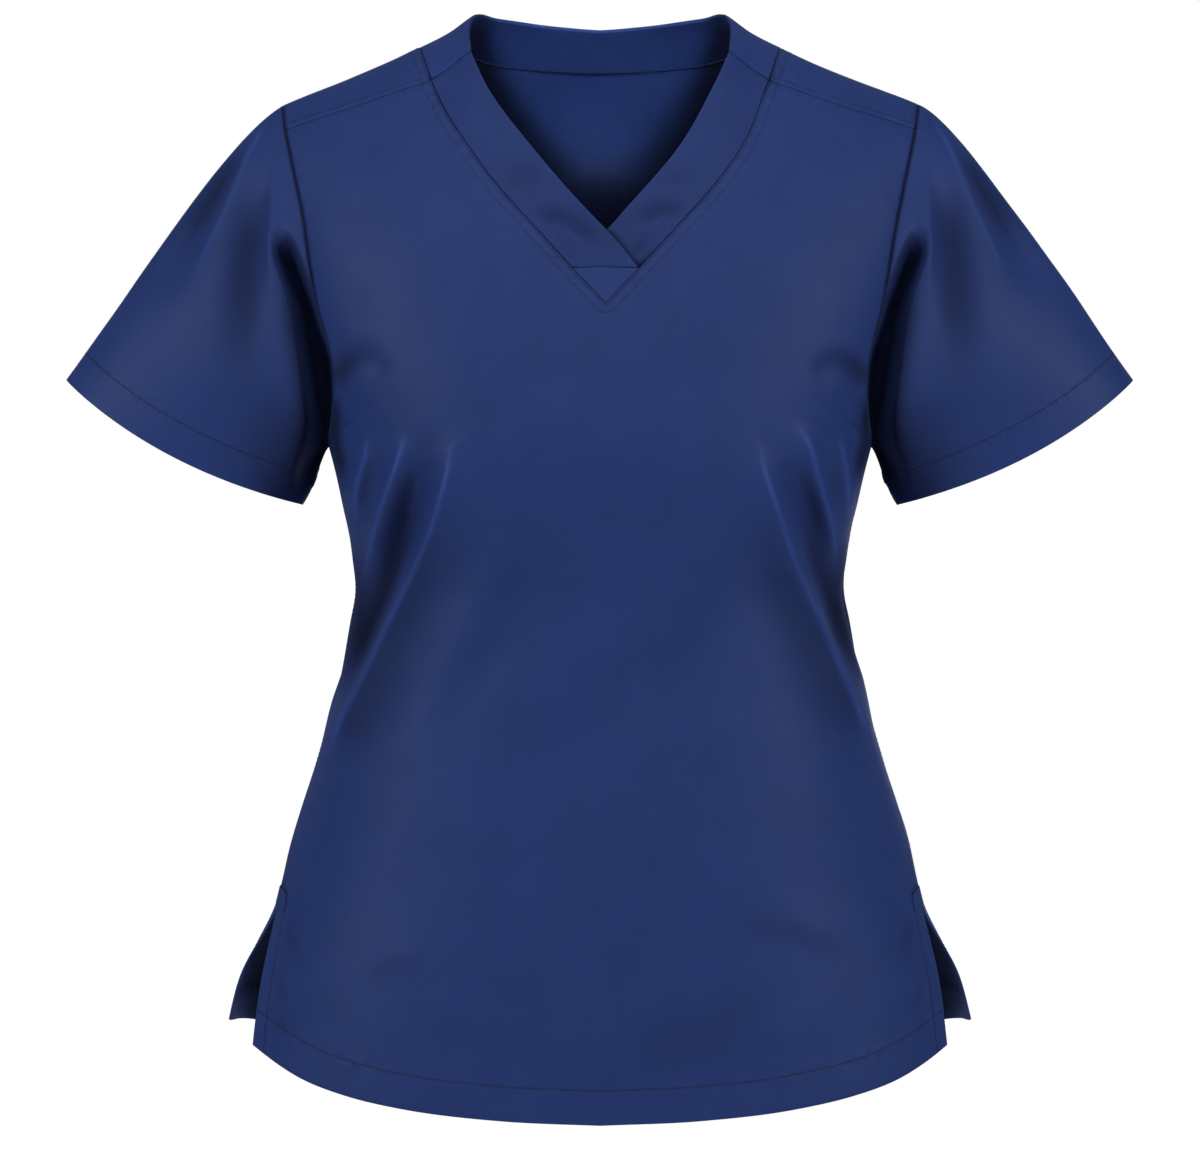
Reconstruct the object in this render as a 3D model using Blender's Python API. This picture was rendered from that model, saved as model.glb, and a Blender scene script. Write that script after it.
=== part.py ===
"""A women's V-neck scrub top in its worn, hollow form, each sewn piece a closed wall of cloth.

Metres, +Z up, the front facing -Y. The origin lies midway between the two high shoulder points, level with
them. Left and right are the wearer's, so the wearer's right is at -X.

The worn form is one surface. A point of it is found by two angles: "turn", round the body from the middle
of the front or back (0) to the side, and "arch", from the shoulder ridge (0) down the front or back, where a
quarter turn reaches the upright part. A negative arch goes over the ridge to the other side. Every panel is
a patch of this surface between its seams.
"""

import math

import bmesh
import bpy
import numpy as np
from mathutils import Vector

MM = 0.001

# Cloth
WALL = 1.6 * MM
HEM_WALL = 2.4 * MM
BAND_WALL = 2.4 * MM
STAY_WALL = 1.0 * MM
GAP = 0.3 * MM

# The body sections: z, x and y of the panel's edge, y of its middle, and how far round its edge is turned.
# Above the armpit the edge is where the form would close under the arm. Millimetres and degrees.
FRONT_SECTIONS = [
    # z, edge x, edge y, middle y, edge turn
    (40, 226, 0, -84, 90),
    (-50, 222, 0, -88, 90),
    (-100, 212, 0, -97, 90),
    (-150, 200, 0, -108, 90),
    (-200, 187, 0, -119, 90),
    (-249, 170.7, 0, -124, 90),
    (-283, 162.5, 0, -121, 90),
    (-320, 155.0, 0, -114, 90),
    (-340, 153.7, 0, -111, 90),
    (-360, 157.6, 0, -109.5, 90),
    (-397, 164.4, 0, -109, 90),
    (-447, 178.3, -2, -111, 88),
    (-497, 193.4, -14, -114, 78),
    (-535, 200.8, -28, -116, 68),
    (-583, 210.8, -40, -117, 62),
    (-622, 215.6, -45, -117.5, 60),
    (-670, 219.0, -48, -117.5, 60),
]
BACK_SECTIONS = [
    # z, edge x, edge y, middle y, edge turn
    (40, 226, 0, 128, 90),
    (-50, 222, 0, 121, 90),
    (-100, 212, 0, 115, 90),
    (-150, 200, 0, 111, 90),
    (-200, 187, 0, 106, 90),
    (-249, 170.7, 0, 101, 90),
    (-283, 162.5, 0, 96, 90),
    (-320, 155.0, 0, 90, 90),
    (-340, 153.7, 0, 88, 90),
    (-360, 157.6, 0, 88.5, 90),
    (-397, 164.4, 0, 93, 90),
    (-447, 178.3, -2, 104, 92),
    (-497, 193.4, -14, 115, 97),
    (-535, 200.8, -28, 121, 100),
    (-583, 226.2, -8, 126, 92),
    (-611, 235.1, 8, 128, 86),
    (-660, 246.0, 20, 130, 84),
]
ROUNDNESS = 0.8

# The shoulder ridge: x and height, and how far down the form turns from the ridge to upright.
RIDGE = [
    (0, 33), (32, 31.5), (64, 27.5), (78, 23.8), (94.5, 12), (115, 1), (126, -4.4), (157.5, -17.6), (200, -34.5),
    (230, -50),
]
ARCH_HEIGHT = 165 * MM
NAPE_LEAN = 15 * MM
NAPE_REACH = 120 * MM
SETTLING_PASSES = 8  # x and z of a point depend on each other, and settle in this many passes

# Seams and edges of the wearer's left half, as (x, z) in millimetres. The neckline is cut a little off centre.
NECK_SHIFT = 3.5 * MM
NECK_SHIFT_FROM = -25 * MM
NECK_SHIFT_OVER = 50 * MM
SHOULDER_SEAM = [(105, -23.2), (137, -33.9), (197, -52.3)]
ARMHOLE_FRONT = [
    (197, -52.3), (190.3, -81.7), (183, -114.5), (178, -143), (173.6, -167.4), (168.6, -186.4),
    (165.8, -201.8), (165.3, -217), (167, -234), (170.7, -249),
]
ARMHOLE_BACK = [
    (200, -34.5), (196, -60), (190.5, -90), (186, -120), (182, -150), (178, -180),
    (175, -205), (173, -222), (171.8, -238), (170.7, -249),
]
FRONT_HEM = [(0, -664), (61, -661.5), (122, -655), (153, -649), (185, -639), (198, -632.5), (215.6, -622)]
BACK_HEM = [(0, -655), (61, -653), (122, -647), (170, -636), (205, -622), (221, -615.5), (235.1, -611)]
VENT_TOP = -535 * MM
ARMPIT = -249 * MM
BUST_LINE = -256 * MM
NECK_SEAM = [(105, -23.2), (92.5, -52), (75.5, -80), (58, -102), (42, -119.7), (20.2, -144)]
NECK_POINT = [(20.2, -144), (0, -165.6)]
BAND_EDGE = [
    (80.5, -4.7), (71, -26), (60, -45.5), (44, -69), (28.2, -88.5), (11.5, -107.4), (-5, -125), (-20.2, -144),
]
NAPE_SEAM = [(105, -23.2), (111, -5), (114.7, 1.2), (104, 1.2), (88, 1.5), (70, -0.8), (35, -4), (0, -5)]
NAPE_EDGE = [(80.5, -4.7), (82.2, 12), (77.6, 23.8), (64, 24.1), (32, 21.7), (0, 19.8)]
RIDGE_AT = 2  # the point of both nape lines that lies on the shoulder ridge

# The left sleeve's cuff, as x and z of its two ends. Its front hangs lower than its ends, and its back higher.
CUFF_OUTER = (335.8 * MM, -207.6 * MM)
CUFF_INNER = (187.2 * MM, -286.3 * MM)
CUFF_HALF_DEPTH = 41 * MM
CUFF_FRONT_DIP = 11 * MM
CUFF_BACK_RISE = 4.4 * MM

# The sleeve leaves the armhole partly outward and, near the shoulder point, partly upward, then runs to the
# cuff along the arm. The pulls say how long it holds each direction, as shares of its length.
SLEEVE_RUN = (0.585, -0.811)
CAP_FULLNESS = 0.35
CAP_RISE = 0.9
CAP_REACH = 45 * MM
LEAVE_PULL = 0.5
CUFF_PULL = 0.9
FOLD_HOLD = 8  # the sleeve's folds fade with this power of the share of its length

# The under neckband sinks below the other over this width, ending this far before the edge that covers it
SINK_OVER = 16 * MM
SINK_EARLY = 9 * MM
SINK_DEPTH = BAND_WALL + 1.5 * GAP

# The vent stays: how far they reach onto each panel, their height and how far they stand off
STAY_REACH = 7 * MM
STAY_HEIGHT = 11.5 * MM
STAY_LIFT = STAY_WALL + 2 * GAP

# The inset's blunt tip, as a share of its lower half, and its cells
BLUNT_TIP = 0.15
INSET_CELLS = 4

# A place inside the body, for telling out from in
INSIDE = np.array([0, 0, -0.3])

# Rims of pieces are matched where their points are this close, unless the cloth folds back sharply there.
# The other two limit how far a mitre reaches at a rim and at its corners.
SAME_POINT = 0.05 * MM
MOST_FOLDED = 0.55
MITRE_LIMIT = 0.85
CORNER_LIMIT = 0.4

# Colours, linear
FRONT_COLOUR = (0.020, 0.036, 0.125)
BACK_COLOUR = (0.018, 0.033, 0.115)
SLEEVE_COLOUR = (0.021, 0.038, 0.130)
BAND_COLOUR = (0.023, 0.041, 0.138)
CLOTH_ROUGHNESS = 0.7

# How many cells each seam is divided into
VENT_CELLS = 5
SEAM_CELLS = 15
ARMHOLE_CELLS = 10
RIDGE_CELLS = 2
NAPE_CELLS = 7
POINT_CELLS = 2
NECK_CELLS = 9
SHOULDER_CELLS = 6
SLEEVE_CELLS = 8
BAND_CELLS = 3

# How finely lines are sampled
LINE_SAMPLES = 300
PATH_SAMPLES = 40

# The largest folds: soft across, and fading at both ends, where a share of their height is left
FOLD_END = 0.04
FOLD_FADE = 0.6
FOLDS = [
    # side (-1 front, 1 back), half width, height (a trough's is negative), the line it follows as (x, z)
    (-1, 7, 3.0, [(-123, -245), (-131, -290), (-142, -315), (-151, -338)]),
    (-1, 9, 4.0, [(-92, -246), (-98, -283), (-107, -309), (-131, -370), (-151, -412), (-170, -440)]),
    (-1, 11, -7.0, [(-103, -243), (-117, -280), (-127, -315), (-141, -355), (-150, -375)]),
    (-1, 16, -4.0, [(-87, -310), (-100, -350), (-122, -395), (-145, -430), (-160, -452)]),
    (-1, 7, 3.0, [(128, -247), (135, -275), (143, -300), (150, -328)]),
    (-1, 9, 4.0, [(99, -250), (108, -290), (120, -322), (138, -365), (154, -402), (168, -430)]),
    (-1, 11, -7.0, [(118, -256), (128, -290), (135, -318), (145, -348), (151, -374)]),
    (-1, 16, -4.0, [(105, -316), (118, -360), (138, -410), (160, -450)]),
    (1, 12, -5.0, [(-110, -262), (-122, -305), (-140, -350)]),
    (1, 12, 3.5, [(-88, -262), (-104, -320), (-135, -400)]),
    (1, 12, -4.5, [(104, -258), (120, -300), (141, -345)]),
    (1, 12, 3.5, [(84, -270), (103, -330), (137, -405)]),
    (1, 16, -4.5, [(-95, -345), (-40, -332), (30, -336), (92, -350)]),
]
SLEEVE_FOLDS_FROM = 10 * MM  # in front of the middle, the sleeves' folds have their full height
SLEEVE_FOLDS = [
    # half width, height, line
    (11, -13.0, [(190, -130), (186, -165), (180, -200), (176, -228)]),
    (12, -4.0, [(226, -88), (236, -120), (248, -160), (262, -190)]),
]


def read_smooth(places, values, at):
    """A smooth curve through values at rising places, read at other places."""
    places, values = np.array(places, float), np.array(values, float)
    at = np.clip(at, places[0], places[-1])
    slopes = np.gradient(values, places, axis=0)
    k = np.clip(np.searchsorted(places, at) - 1, 0, len(places) - 2)
    span = places[k + 1] - places[k]
    s = (at - places[k]) / span
    if values.ndim > 1:
        s, span = s[..., None], span[..., None]
    start = (1 + 2 * s) * (1 - s) ** 2 * values[k] + s * (1 - s) ** 2 * span * slopes[k]
    return start + s**2 * (3 - 2 * s) * values[k + 1] - s**2 * (1 - s) * span * slopes[k + 1]


def along(line, shares):
    """Points at the given shares of the length of a smooth line through the given points."""
    line = np.array(line, float)
    places = np.r_[0, np.cumsum(np.linalg.norm(np.diff(line, axis=0), axis=1))]
    fine = read_smooth(places, line, np.linspace(0, places[-1], LINE_SAMPLES))
    length = np.r_[0, np.cumsum(np.linalg.norm(np.diff(fine, axis=0), axis=1))]
    at = np.array(shares) * length[-1]
    return np.stack([np.interp(at, length, fine[:, k]) for k in range(line.shape[1])], axis=1)


def ridge(x):
    points = np.array(RIDGE) * MM
    return read_smooth(points[:, 0], points[:, 1], np.abs(x))


def section(side, z):
    """Edge x, edge y, middle y and edge turn of the front (side -1) or back (side 1) at height z."""
    rows = []
    for table in (FRONT_SECTIONS, BACK_SECTIONS):
        table = np.array(table[::-1], float)
        rows.append(read_smooth(table[:, 0] * MM, table[:, 1:], z))
    x, y, middle, turn = np.moveaxis(np.where(np.asarray(side)[..., None] < 0, rows[0], rows[1]), -1, 0)
    return x * MM, y * MM, middle * MM, np.radians(turn)


def fall(arch):
    """How far below the ridge an arch angle lies."""
    arch = np.abs(arch)
    return ARCH_HEIGHT * np.where(arch < math.pi / 2, 1 - np.cos(arch), 1 + arch - math.pi / 2)


def arch_at(drop):
    share = np.maximum(drop, 0) / ARCH_HEIGHT
    return np.where(share < 1, np.arccos(1 - np.minimum(share, 1)), math.pi / 2 + share - 1)


def signed_power(value, power):
    return np.sign(value) * np.abs(value) ** power


def body(side, turn, arch):
    """The worn form's point at a turn and an arch, both signed."""
    side = np.where(arch < 0, -side, side)
    drop = fall(arch)
    z = -drop
    for _ in range(SETTLING_PASSES):
        edge_x, edge_y, middle, edge_turn = section(side, z)
        x = edge_x * signed_power(np.sin(turn) / np.sin(edge_turn), ROUNDNESS)
        z = ridge(x) - drop
    edge_x, edge_y, middle, edge_turn = section(side, z)
    round_it = 1 - signed_power(np.cos(turn), ROUNDNESS)
    upright = middle + (edge_y - middle) * round_it / (1 - signed_power(np.cos(edge_turn), ROUNDNESS))
    lean = NAPE_LEAN * np.maximum(0, 1 - (x / NAPE_REACH) ** 2)
    y = lean + (upright - lean) * np.sin(np.minimum(np.abs(arch), math.pi / 2))
    return np.stack([x, y, z], axis=-1)


def locate(side, x, z):
    """The (turn, arch) of the form's point at x and z."""
    edge_x, _, _, edge_turn = section(side, z)
    sine = signed_power(x / edge_x, 1 / ROUNDNESS) * np.sin(edge_turn)
    return np.stack([np.arcsin(np.clip(sine, -1, 1)), arch_at(ridge(x) - z)], axis=-1)


def shares(cells):
    return np.linspace(0, 1, cells + 1)


def seam(side, line, cells, half, off_centre=0.0):
    """(turn, arch) along a seam drawn for the left half, moved to either half."""
    x, z = along(np.array(line) * MM, shares(cells)).T
    moved = off_centre * np.clip((NECK_SHIFT_FROM - z) / NECK_SHIFT_OVER, 0, 1)
    return locate(np.full(cells + 1, side), half * x + moved, z)


def middle_line(side, bottom, top, cells):
    """(turn, arch) up the middle of a panel, with the bust line level with the armpit's row."""
    bust = locate(side, 0.0, BUST_LINE)
    lower = bottom + (bust - bottom) * shares(VENT_CELLS + SEAM_CELLS)[:, None]
    upper = bust + (top - bust) * shares(cells - VENT_CELLS - SEAM_CELLS)[:, None]
    return joined(lower, upper)


def side_edge(side, top, bottom, cells, half):
    """(turn, arch) up the panel's own edge, from one height to another."""
    z = np.linspace(bottom, top, cells + 1)
    edge_x, _, _, edge_turn = section(np.full(cells + 1, side), z)
    return np.stack([half * edge_turn, arch_at(ridge(edge_x) - z)], axis=-1)


def joined(*lines):
    """Lines end to end, each starting on the last point of the one before."""
    return np.concatenate([lines[0]] + [line[1:] for line in lines[1:]])


def patch(bottom, top, inner, outer):
    """A grid of (turn, arch) between four lines, inner and outer running from bottom to top."""
    u = shares(len(bottom) - 1)[None, :, None]
    v = shares(len(inner) - 1)[:, None, None]
    across = (1 - u) * inner[:, None] + u * outer[:, None]
    upward = (1 - v) * bottom[None] + v * top[None]
    corners = (1 - v) * ((1 - u) * bottom[0] + u * bottom[-1]) + v * ((1 - u) * top[0] + u * top[-1])
    return across + upward - corners


def nape_line(line, half):
    """(turn, arch) of a line that comes from the front, over the shoulder ridge, to the middle of the back."""
    x, z = (np.array(line) * MM).T
    where = locate(np.where(np.arange(len(x)) < RIDGE_AT, -1, 1), half * x, z)
    where[:RIDGE_AT, 1] *= -1
    where[RIDGE_AT, 1] = 0
    to_ridge = along(where[: RIDGE_AT + 1], shares(RIDGE_CELLS))
    return joined(to_ridge, along(where[RIDGE_AT:], shares(NAPE_CELLS)))


def fold_lift(side, points):
    """How far the folds raise the cloth at each point."""
    lift = np.zeros(points.shape[:-1])
    for fold_side, width, height, line in FOLDS:
        if fold_side != side:
            continue
        path = along(np.array(line) * MM, shares(PATH_SAMPLES))
        away = np.linalg.norm(points[..., None, [0, 2]] - path, axis=-1)
        place = FOLD_END + (1 - 2 * FOLD_END) * away.argmin(axis=-1) / PATH_SAMPLES
        fade = np.sin(math.pi * place) ** FOLD_FADE
        lift += height * MM * fade * np.exp(-((away.min(axis=-1) / (width * MM)) ** 2))
    return lift


def normals(grid, closed=False):
    """Unit normals of a grid of points, up x across."""
    if closed:
        wide = np.concatenate([grid[:, -2:-1], grid, grid[:, 1:2]], axis=1)
        across = wide[:, 2:] - wide[:, :-2]
    else:
        across = np.gradient(grid, axis=1)
    upward = np.gradient(grid, axis=0)
    normal = np.cross(across, upward)
    return normal / np.linalg.norm(normal, axis=-1, keepdims=True)


def halves(make):
    """The right and left halves of a panel joined at the middle, columns from the wearer's right to left."""
    right, left = make(-1), make(1)
    return np.concatenate([right[:, ::-1], left[:, 1:]], axis=1)


def front_where():
    def half(sign):
        hem_line = np.array(FRONT_HEM) * MM
        columns = POINT_CELLS + NECK_CELLS + SHOULDER_CELLS
        points = along(hem_line, shares(columns))
        hem = locate(np.full(columns + 1, -1), sign * points[:, 0], points[:, 1])
        outer = joined(
            side_edge(-1, VENT_TOP, hem_line[-1, 1], VENT_CELLS, sign),
            side_edge(-1, ARMPIT, VENT_TOP, SEAM_CELLS, sign),
            seam(-1, ARMHOLE_FRONT[::-1], ARMHOLE_CELLS, sign),
        )
        hem[-1] = outer[0]
        neck_point = seam(-1, NECK_POINT[::-1], POINT_CELLS, sign, NECK_SHIFT)
        neck = seam(-1, NECK_SEAM[::-1], NECK_CELLS, sign, NECK_SHIFT)
        top = joined(neck_point, neck, seam(-1, SHOULDER_SEAM, SHOULDER_CELLS, sign))
        return patch(hem, top, middle_line(-1, hem[0], top[0], len(outer) - 1), outer)

    return halves(half)


def ridge_line(half):
    """(turn, arch) along the shoulder ridge, from the neck seam to the armhole."""
    x = np.linspace(NAPE_SEAM[RIDGE_AT][0], ARMHOLE_BACK[0][0], SHOULDER_CELLS + 1) * MM
    where = locate(np.full(len(x), 1), half * x, ridge(x))
    where[:, 1] = 0
    return where


def back_where():
    def half(sign):
        hem_line = np.array(BACK_HEM) * MM
        columns = NAPE_CELLS + SHOULDER_CELLS
        points = along(hem_line, shares(columns))
        hem = locate(np.full(columns + 1, 1), sign * points[:, 0], points[:, 1])
        outer = joined(
            side_edge(1, VENT_TOP, hem_line[-1, 1], VENT_CELLS, sign),
            side_edge(1, ARMPIT, VENT_TOP, SEAM_CELLS, sign),
            seam(1, ARMHOLE_BACK[::-1], ARMHOLE_CELLS, sign),
        )
        hem[-1] = outer[0]
        top = joined(nape_line(NAPE_SEAM, sign)[RIDGE_CELLS:][::-1], ridge_line(sign))
        outer[-1] = top[-1]
        return patch(hem, top, middle_line(1, hem[0], top[0], len(outer) - 1), outer)

    return halves(half)


def yoke_where(half):
    """The back's strip that comes over the shoulder ridge to the forward shoulder seam."""
    ridge_top = ridge_line(half)
    front_seam = seam(-1, SHOULDER_SEAM, SHOULDER_CELLS, half) * (1, -1)
    inner = nape_line(NAPE_SEAM, half)[: RIDGE_CELLS + 1][::-1]
    outer = ridge_top[-1] + (front_seam[-1] - ridge_top[-1]) * shares(RIDGE_CELLS)[:, None]
    return patch(ridge_top, front_seam, inner, outer)


def points_at(side, where):
    """The points of a patch, with its columns in the order that turns its normals outward."""
    grid = body(np.full(where.shape[:2], side), where[..., 0], where[..., 1])
    faces_out = (normals(grid) * (grid - INSIDE)).sum() > 0
    return grid if faces_out else grid[:, ::-1]


def panel(side, where):
    grid = points_at(side, where)
    return grid + normals(grid) * fold_lift(side, grid)[..., None]


def front_and_back():
    """Both panels, with the same points along their side seams."""
    front, back = panel(-1, front_where()), panel(1, back_where())
    rows = slice(VENT_CELLS, VENT_CELLS + SEAM_CELLS + 1)
    for column in (0, -1):
        back[rows, -1 - column] = front[rows, column]
    return front, back


def armhole(front, back, yoke, half):
    """The armhole's ring: up the front from the armpit, over the ridge and down the back."""
    start = VENT_CELLS + SEAM_CELLS
    column = 0 if half < 0 else -1
    tip = max((0, -1), key=lambda k: abs(yoke[0, k, 0]))
    return joined(front[start:, column], yoke[::-1, tip], back[start:, -1 - column][::-1])


def sleeve(ring, half):
    """A tube from the armhole to the cuff, its rows running up the arm."""
    steps = np.r_[0, np.cumsum(np.linalg.norm(np.diff(ring, axis=0), axis=1))]
    top = ARMHOLE_CELLS + RIDGE_CELLS
    angle = math.pi * np.interp(steps, [0, steps[top], steps[-1]], [0, 1, 2])
    outer, inner = np.array(CUFF_OUTER), np.array(CUFF_INNER)
    dip = np.sin(angle) * np.where(np.sin(angle) > 0, CUFF_FRONT_DIP, CUFF_BACK_RISE)
    across = (outer + inner) / 2 - np.cos(angle)[:, None] * (outer - inner) / 2
    across += dip[:, None] * SLEEVE_RUN
    cuff = np.stack([half * across[:, 0], -CUFF_HALF_DEPTH * np.sin(angle), across[:, 1]], axis=1)

    run = np.array([half * SLEEVE_RUN[0], 0, SLEEVE_RUN[1]])
    out_of_body = ring * (1, 1, 0) - ring[top] * (0.5, 0, 0)
    out_of_body /= np.linalg.norm(out_of_body, axis=1, keepdims=True)
    out_of_body[:, 2] += CAP_RISE * np.exp(-(((steps - steps[top]) / CAP_REACH) ** 2))
    leave = run + CAP_FULLNESS * out_of_body
    leave /= np.linalg.norm(leave, axis=1, keepdims=True)
    length = np.linalg.norm(cuff - ring, axis=1)[:, None]
    s = shares(SLEEVE_CELLS)[:, None, None]
    grid = (
        (1 + 2 * s) * (1 - s) ** 2 * ring
        + s * (1 - s) ** 2 * LEAVE_PULL * length * leave
        + s**2 * (3 - 2 * s) * cuff
        - s**2 * (1 - s) * CUFF_PULL * length * run
    )
    grid = grid[::-1] if half > 0 else grid[::-1, ::-1]
    lift = sleeve_lift(grid, half) * (1 - shares(SLEEVE_CELLS)[:, None] ** FOLD_HOLD)
    grid = grid + normals(grid, closed=True) * lift[..., None]
    grid[:, -1] = grid[:, 0]
    return grid


def sleeve_lift(grid, half):
    lift = np.zeros(grid.shape[:2])
    for width, height, line in SLEEVE_FOLDS:
        path = along(np.array(line) * MM, shares(PATH_SAMPLES))
        across = np.stack([half * grid[..., 0], grid[..., 2]], axis=-1)
        away = np.linalg.norm(across[..., None, :] - path, axis=-1).min(axis=-1)
        on_front = np.clip(-grid[..., 1] / SLEEVE_FOLDS_FROM, 0, 1)
        lift += height * MM * on_front * np.exp(-((away / (width * MM)) ** 2))
    return lift


def strip(side, seam_line, edge_line):
    """A band's grid between its seam and its free edge."""
    across = shares(BAND_CELLS)[:, None, None]
    return points_at(side, seam_line + (edge_line - seam_line) * across)


def front_band(half):
    lines = [seam(-1, line, NECK_CELLS, half, NECK_SHIFT) for line in (NECK_SEAM, BAND_EDGE)]
    return strip(-1, *lines)


def under_band():
    """The left band, which sinks below the right one where that crosses over it."""
    grid = front_band(1)
    edge = body(-1, *seam(-1, BAND_EDGE, PATH_SAMPLES, -1, NECK_SHIFT).T)
    over_x = np.interp(-grid[..., 2], -edge[:, 2], edge[:, 0])
    share = np.clip(1 - (grid[..., 0] - over_x - SINK_EARLY) / SINK_OVER, 0, 1)
    return grid - normals(grid) * (SINK_DEPTH * share**2 * (3 - 2 * share))[..., None]


def back_band():
    """The back neckband, from one forward shoulder seam round the neck to the other."""
    lines = [joined(nape_line(line, -1), nape_line(line, 1)[::-1]) for line in (NAPE_SEAM, NAPE_EDGE)]
    return strip(1, *lines)


def inset():
    """The small triangle under the crossing, its tip cut blunt."""
    right = seam(-1, NECK_POINT, POINT_CELLS, -1, NECK_SHIFT)
    left = seam(-1, NECK_POINT, POINT_CELLS, 1, NECK_SHIFT)
    for line in (right, left):
        line[-1] += BLUNT_TIP * (line[-2] - line[-1])
    across = shares(INSET_CELLS)[None, :, None]
    return points_at(-1, (right[:, None] + (left - right)[:, None] * across)[::-1])


def stay(front, back, half):
    """A patch wrapped over the top of a side vent, raised off both panels."""
    rows = slice(VENT_CELLS, VENT_CELLS + 2)
    if half < 0:
        front_in, seam_line, back_in = front[rows, 1], front[rows, 0], back[rows, -2]
    else:
        front_in, seam_line, back_in = front[rows, -2], front[rows, -1], back[rows, 1]

    def reach(inside):
        step = inside - seam_line
        return seam_line + step * (STAY_REACH / np.linalg.norm(step, axis=1, keepdims=True))

    lines = np.stack([reach(front_in), seam_line, reach(back_in)], axis=1)
    tall = STAY_HEIGHT / np.linalg.norm(seam_line[1] - seam_line[0])
    grid = np.stack([lines[0], lines[0] + (lines[1] - lines[0]) * tall])
    grid = grid[:, ::-1] if half < 0 else grid
    return grid + normals(grid) * STAY_LIFT


def open_sheet(grids, wall, hem_wall=None):
    """An open mesh of grids joined where they meet, with its wall's thickness at each vertex and, later, the
    direction in which that is measured. The first grid's first rows are its hem."""
    mesh = bmesh.new()
    mesh.verts.layers.float.new("wall")
    mesh.verts.layers.float_vector.new("across")
    thickness = mesh.verts.layers.float["wall"]
    for grid in grids:
        rows, columns = grid.shape[:2]
        new = bmesh.ops.create_grid(mesh, x_segments=columns - 1, y_segments=rows - 1, size=0.5)
        for vertex in new["verts"]:
            i, j = round((vertex.co.y + 0.5) * (rows - 1)), round((vertex.co.x + 0.5) * (columns - 1))
            vertex.co = grid[i, j]
            vertex[thickness] = hem_wall if hem_wall and i <= 1 else wall
        hem_wall = None
    bmesh.ops.remove_doubles(mesh, verts=mesh.verts[:], dist=SAME_POINT)
    mesh.normal_update()
    return mesh


def rim_steps(mesh):
    """For each rim vertex, the step along the cloth that draws both its edges in by half a gap."""
    inward = {}
    for edge in mesh.edges:
        if edge.is_boundary:
            face = edge.link_faces[0]
            along_edge = (edge.verts[1].co - edge.verts[0].co).normalized()
            step = face.normal.cross(along_edge)
            if step.dot(face.calc_center_median() - edge.verts[0].co) < 0:
                step.negate()
            for vertex in edge.verts:
                inward.setdefault(vertex, []).append(step)
    return {
        vertex: (first + second) * (GAP / 2 / max(1 + first.dot(second), CORNER_LIMIT))
        for vertex, (first, second) in inward.items()
    }


def match_rims(sheets):
    """The direction of the wall at each vertex, alike on both sides of a seam so that rims meet face to face."""
    rims = [(vertex.co.copy(), vertex.normal.copy()) for mesh in sheets for vertex in rim_steps(mesh)]
    places = np.array([place for place, _ in rims])
    facing = np.array([normal for _, normal in rims])
    for mesh in sheets:
        steps = rim_steps(mesh)
        across = mesh.verts.layers.float_vector["across"]
        for vertex in mesh.verts:
            vertex[across] = vertex.normal
        for vertex in steps:
            close = np.linalg.norm(places - np.array(vertex.co), axis=1) < 2 * SAME_POINT
            mean = Vector(facing[close].mean(axis=0))
            if mean.length > MOST_FOLDED:
                mean.normalize()
                vertex[across] = mean / max(mean.dot(vertex.normal), MITRE_LIMIT)
        for vertex, step in steps.items():
            vertex.co += step


def build_wall(name, mesh, colour):
    """A closed wall of cloth: the sheet is its outer face, and the inner face lies a wall's thickness below."""
    thickness = mesh.verts.layers.float["wall"]
    across = mesh.verts.layers.float_vector["across"]
    moved = bmesh.ops.extrude_face_region(mesh, geom=mesh.faces[:], use_keep_orig=True)
    for item in moved["geom"]:
        if isinstance(item, bmesh.types.BMVert):
            item.co -= item[across] * item[thickness]
    bmesh.ops.recalc_face_normals(mesh, faces=mesh.faces[:])
    bmesh.ops.triangulate(mesh, faces=mesh.faces[:], quad_method="SHORT_EDGE")
    data = bpy.data.meshes.new(name)
    mesh.to_mesh(data)
    mesh.free()
    for layer in ("wall", "across"):
        data.attributes.remove(data.attributes[layer])
    data.shade_smooth()
    data.set_sharp_from_angle(angle=math.radians(40))
    data.materials.append(cloth_material(name, colour))
    bpy.context.scene.collection.objects.link(bpy.data.objects.new(name, data))


def cloth_material(name, colour):
    material = bpy.data.materials.new(f"{name} cloth")
    material.use_nodes = True
    shader = material.node_tree.nodes["Principled BSDF"]
    shader.inputs["Base Color"].default_value = (*colour, 1)
    shader.inputs["Roughness"].default_value = CLOTH_ROUGHNESS
    shader.inputs["Metallic"].default_value = 0.0
    return material


def main():
    for old in list(bpy.data.objects):
        bpy.data.objects.remove(old)
    front, back = front_and_back()
    yokes = {half: points_at(1, yoke_where(half)) for half in (-1, 1)}
    pieces = {
        "front": (open_sheet([front], WALL, HEM_WALL), FRONT_COLOUR),
        "back": (open_sheet([back, *yokes.values()], WALL, HEM_WALL), BACK_COLOUR),
        "neckband_back": (open_sheet([back_band()], BAND_WALL), BAND_COLOUR),
        "neckband_right": (open_sheet([front_band(-1)], BAND_WALL), BAND_COLOUR),
        "neckband_left": (open_sheet([under_band()], BAND_WALL), BAND_COLOUR),
        "neck_inset": (open_sheet([inset()], WALL), FRONT_COLOUR),
    }
    for name, half in (("right", -1), ("left", 1)):
        tube = sleeve(armhole(front, back, yokes[half], half), half)
        pieces[f"sleeve_{name}"] = (open_sheet([tube], WALL, HEM_WALL), SLEEVE_COLOUR)
        pieces[f"vent_stay_{name}"] = (open_sheet([stay(front, back, half)], STAY_WALL), BAND_COLOUR)
    match_rims([mesh for mesh, _ in pieces.values()])
    for name, (mesh, colour) in pieces.items():
        build_wall(name, mesh, colour)


main()
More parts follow.
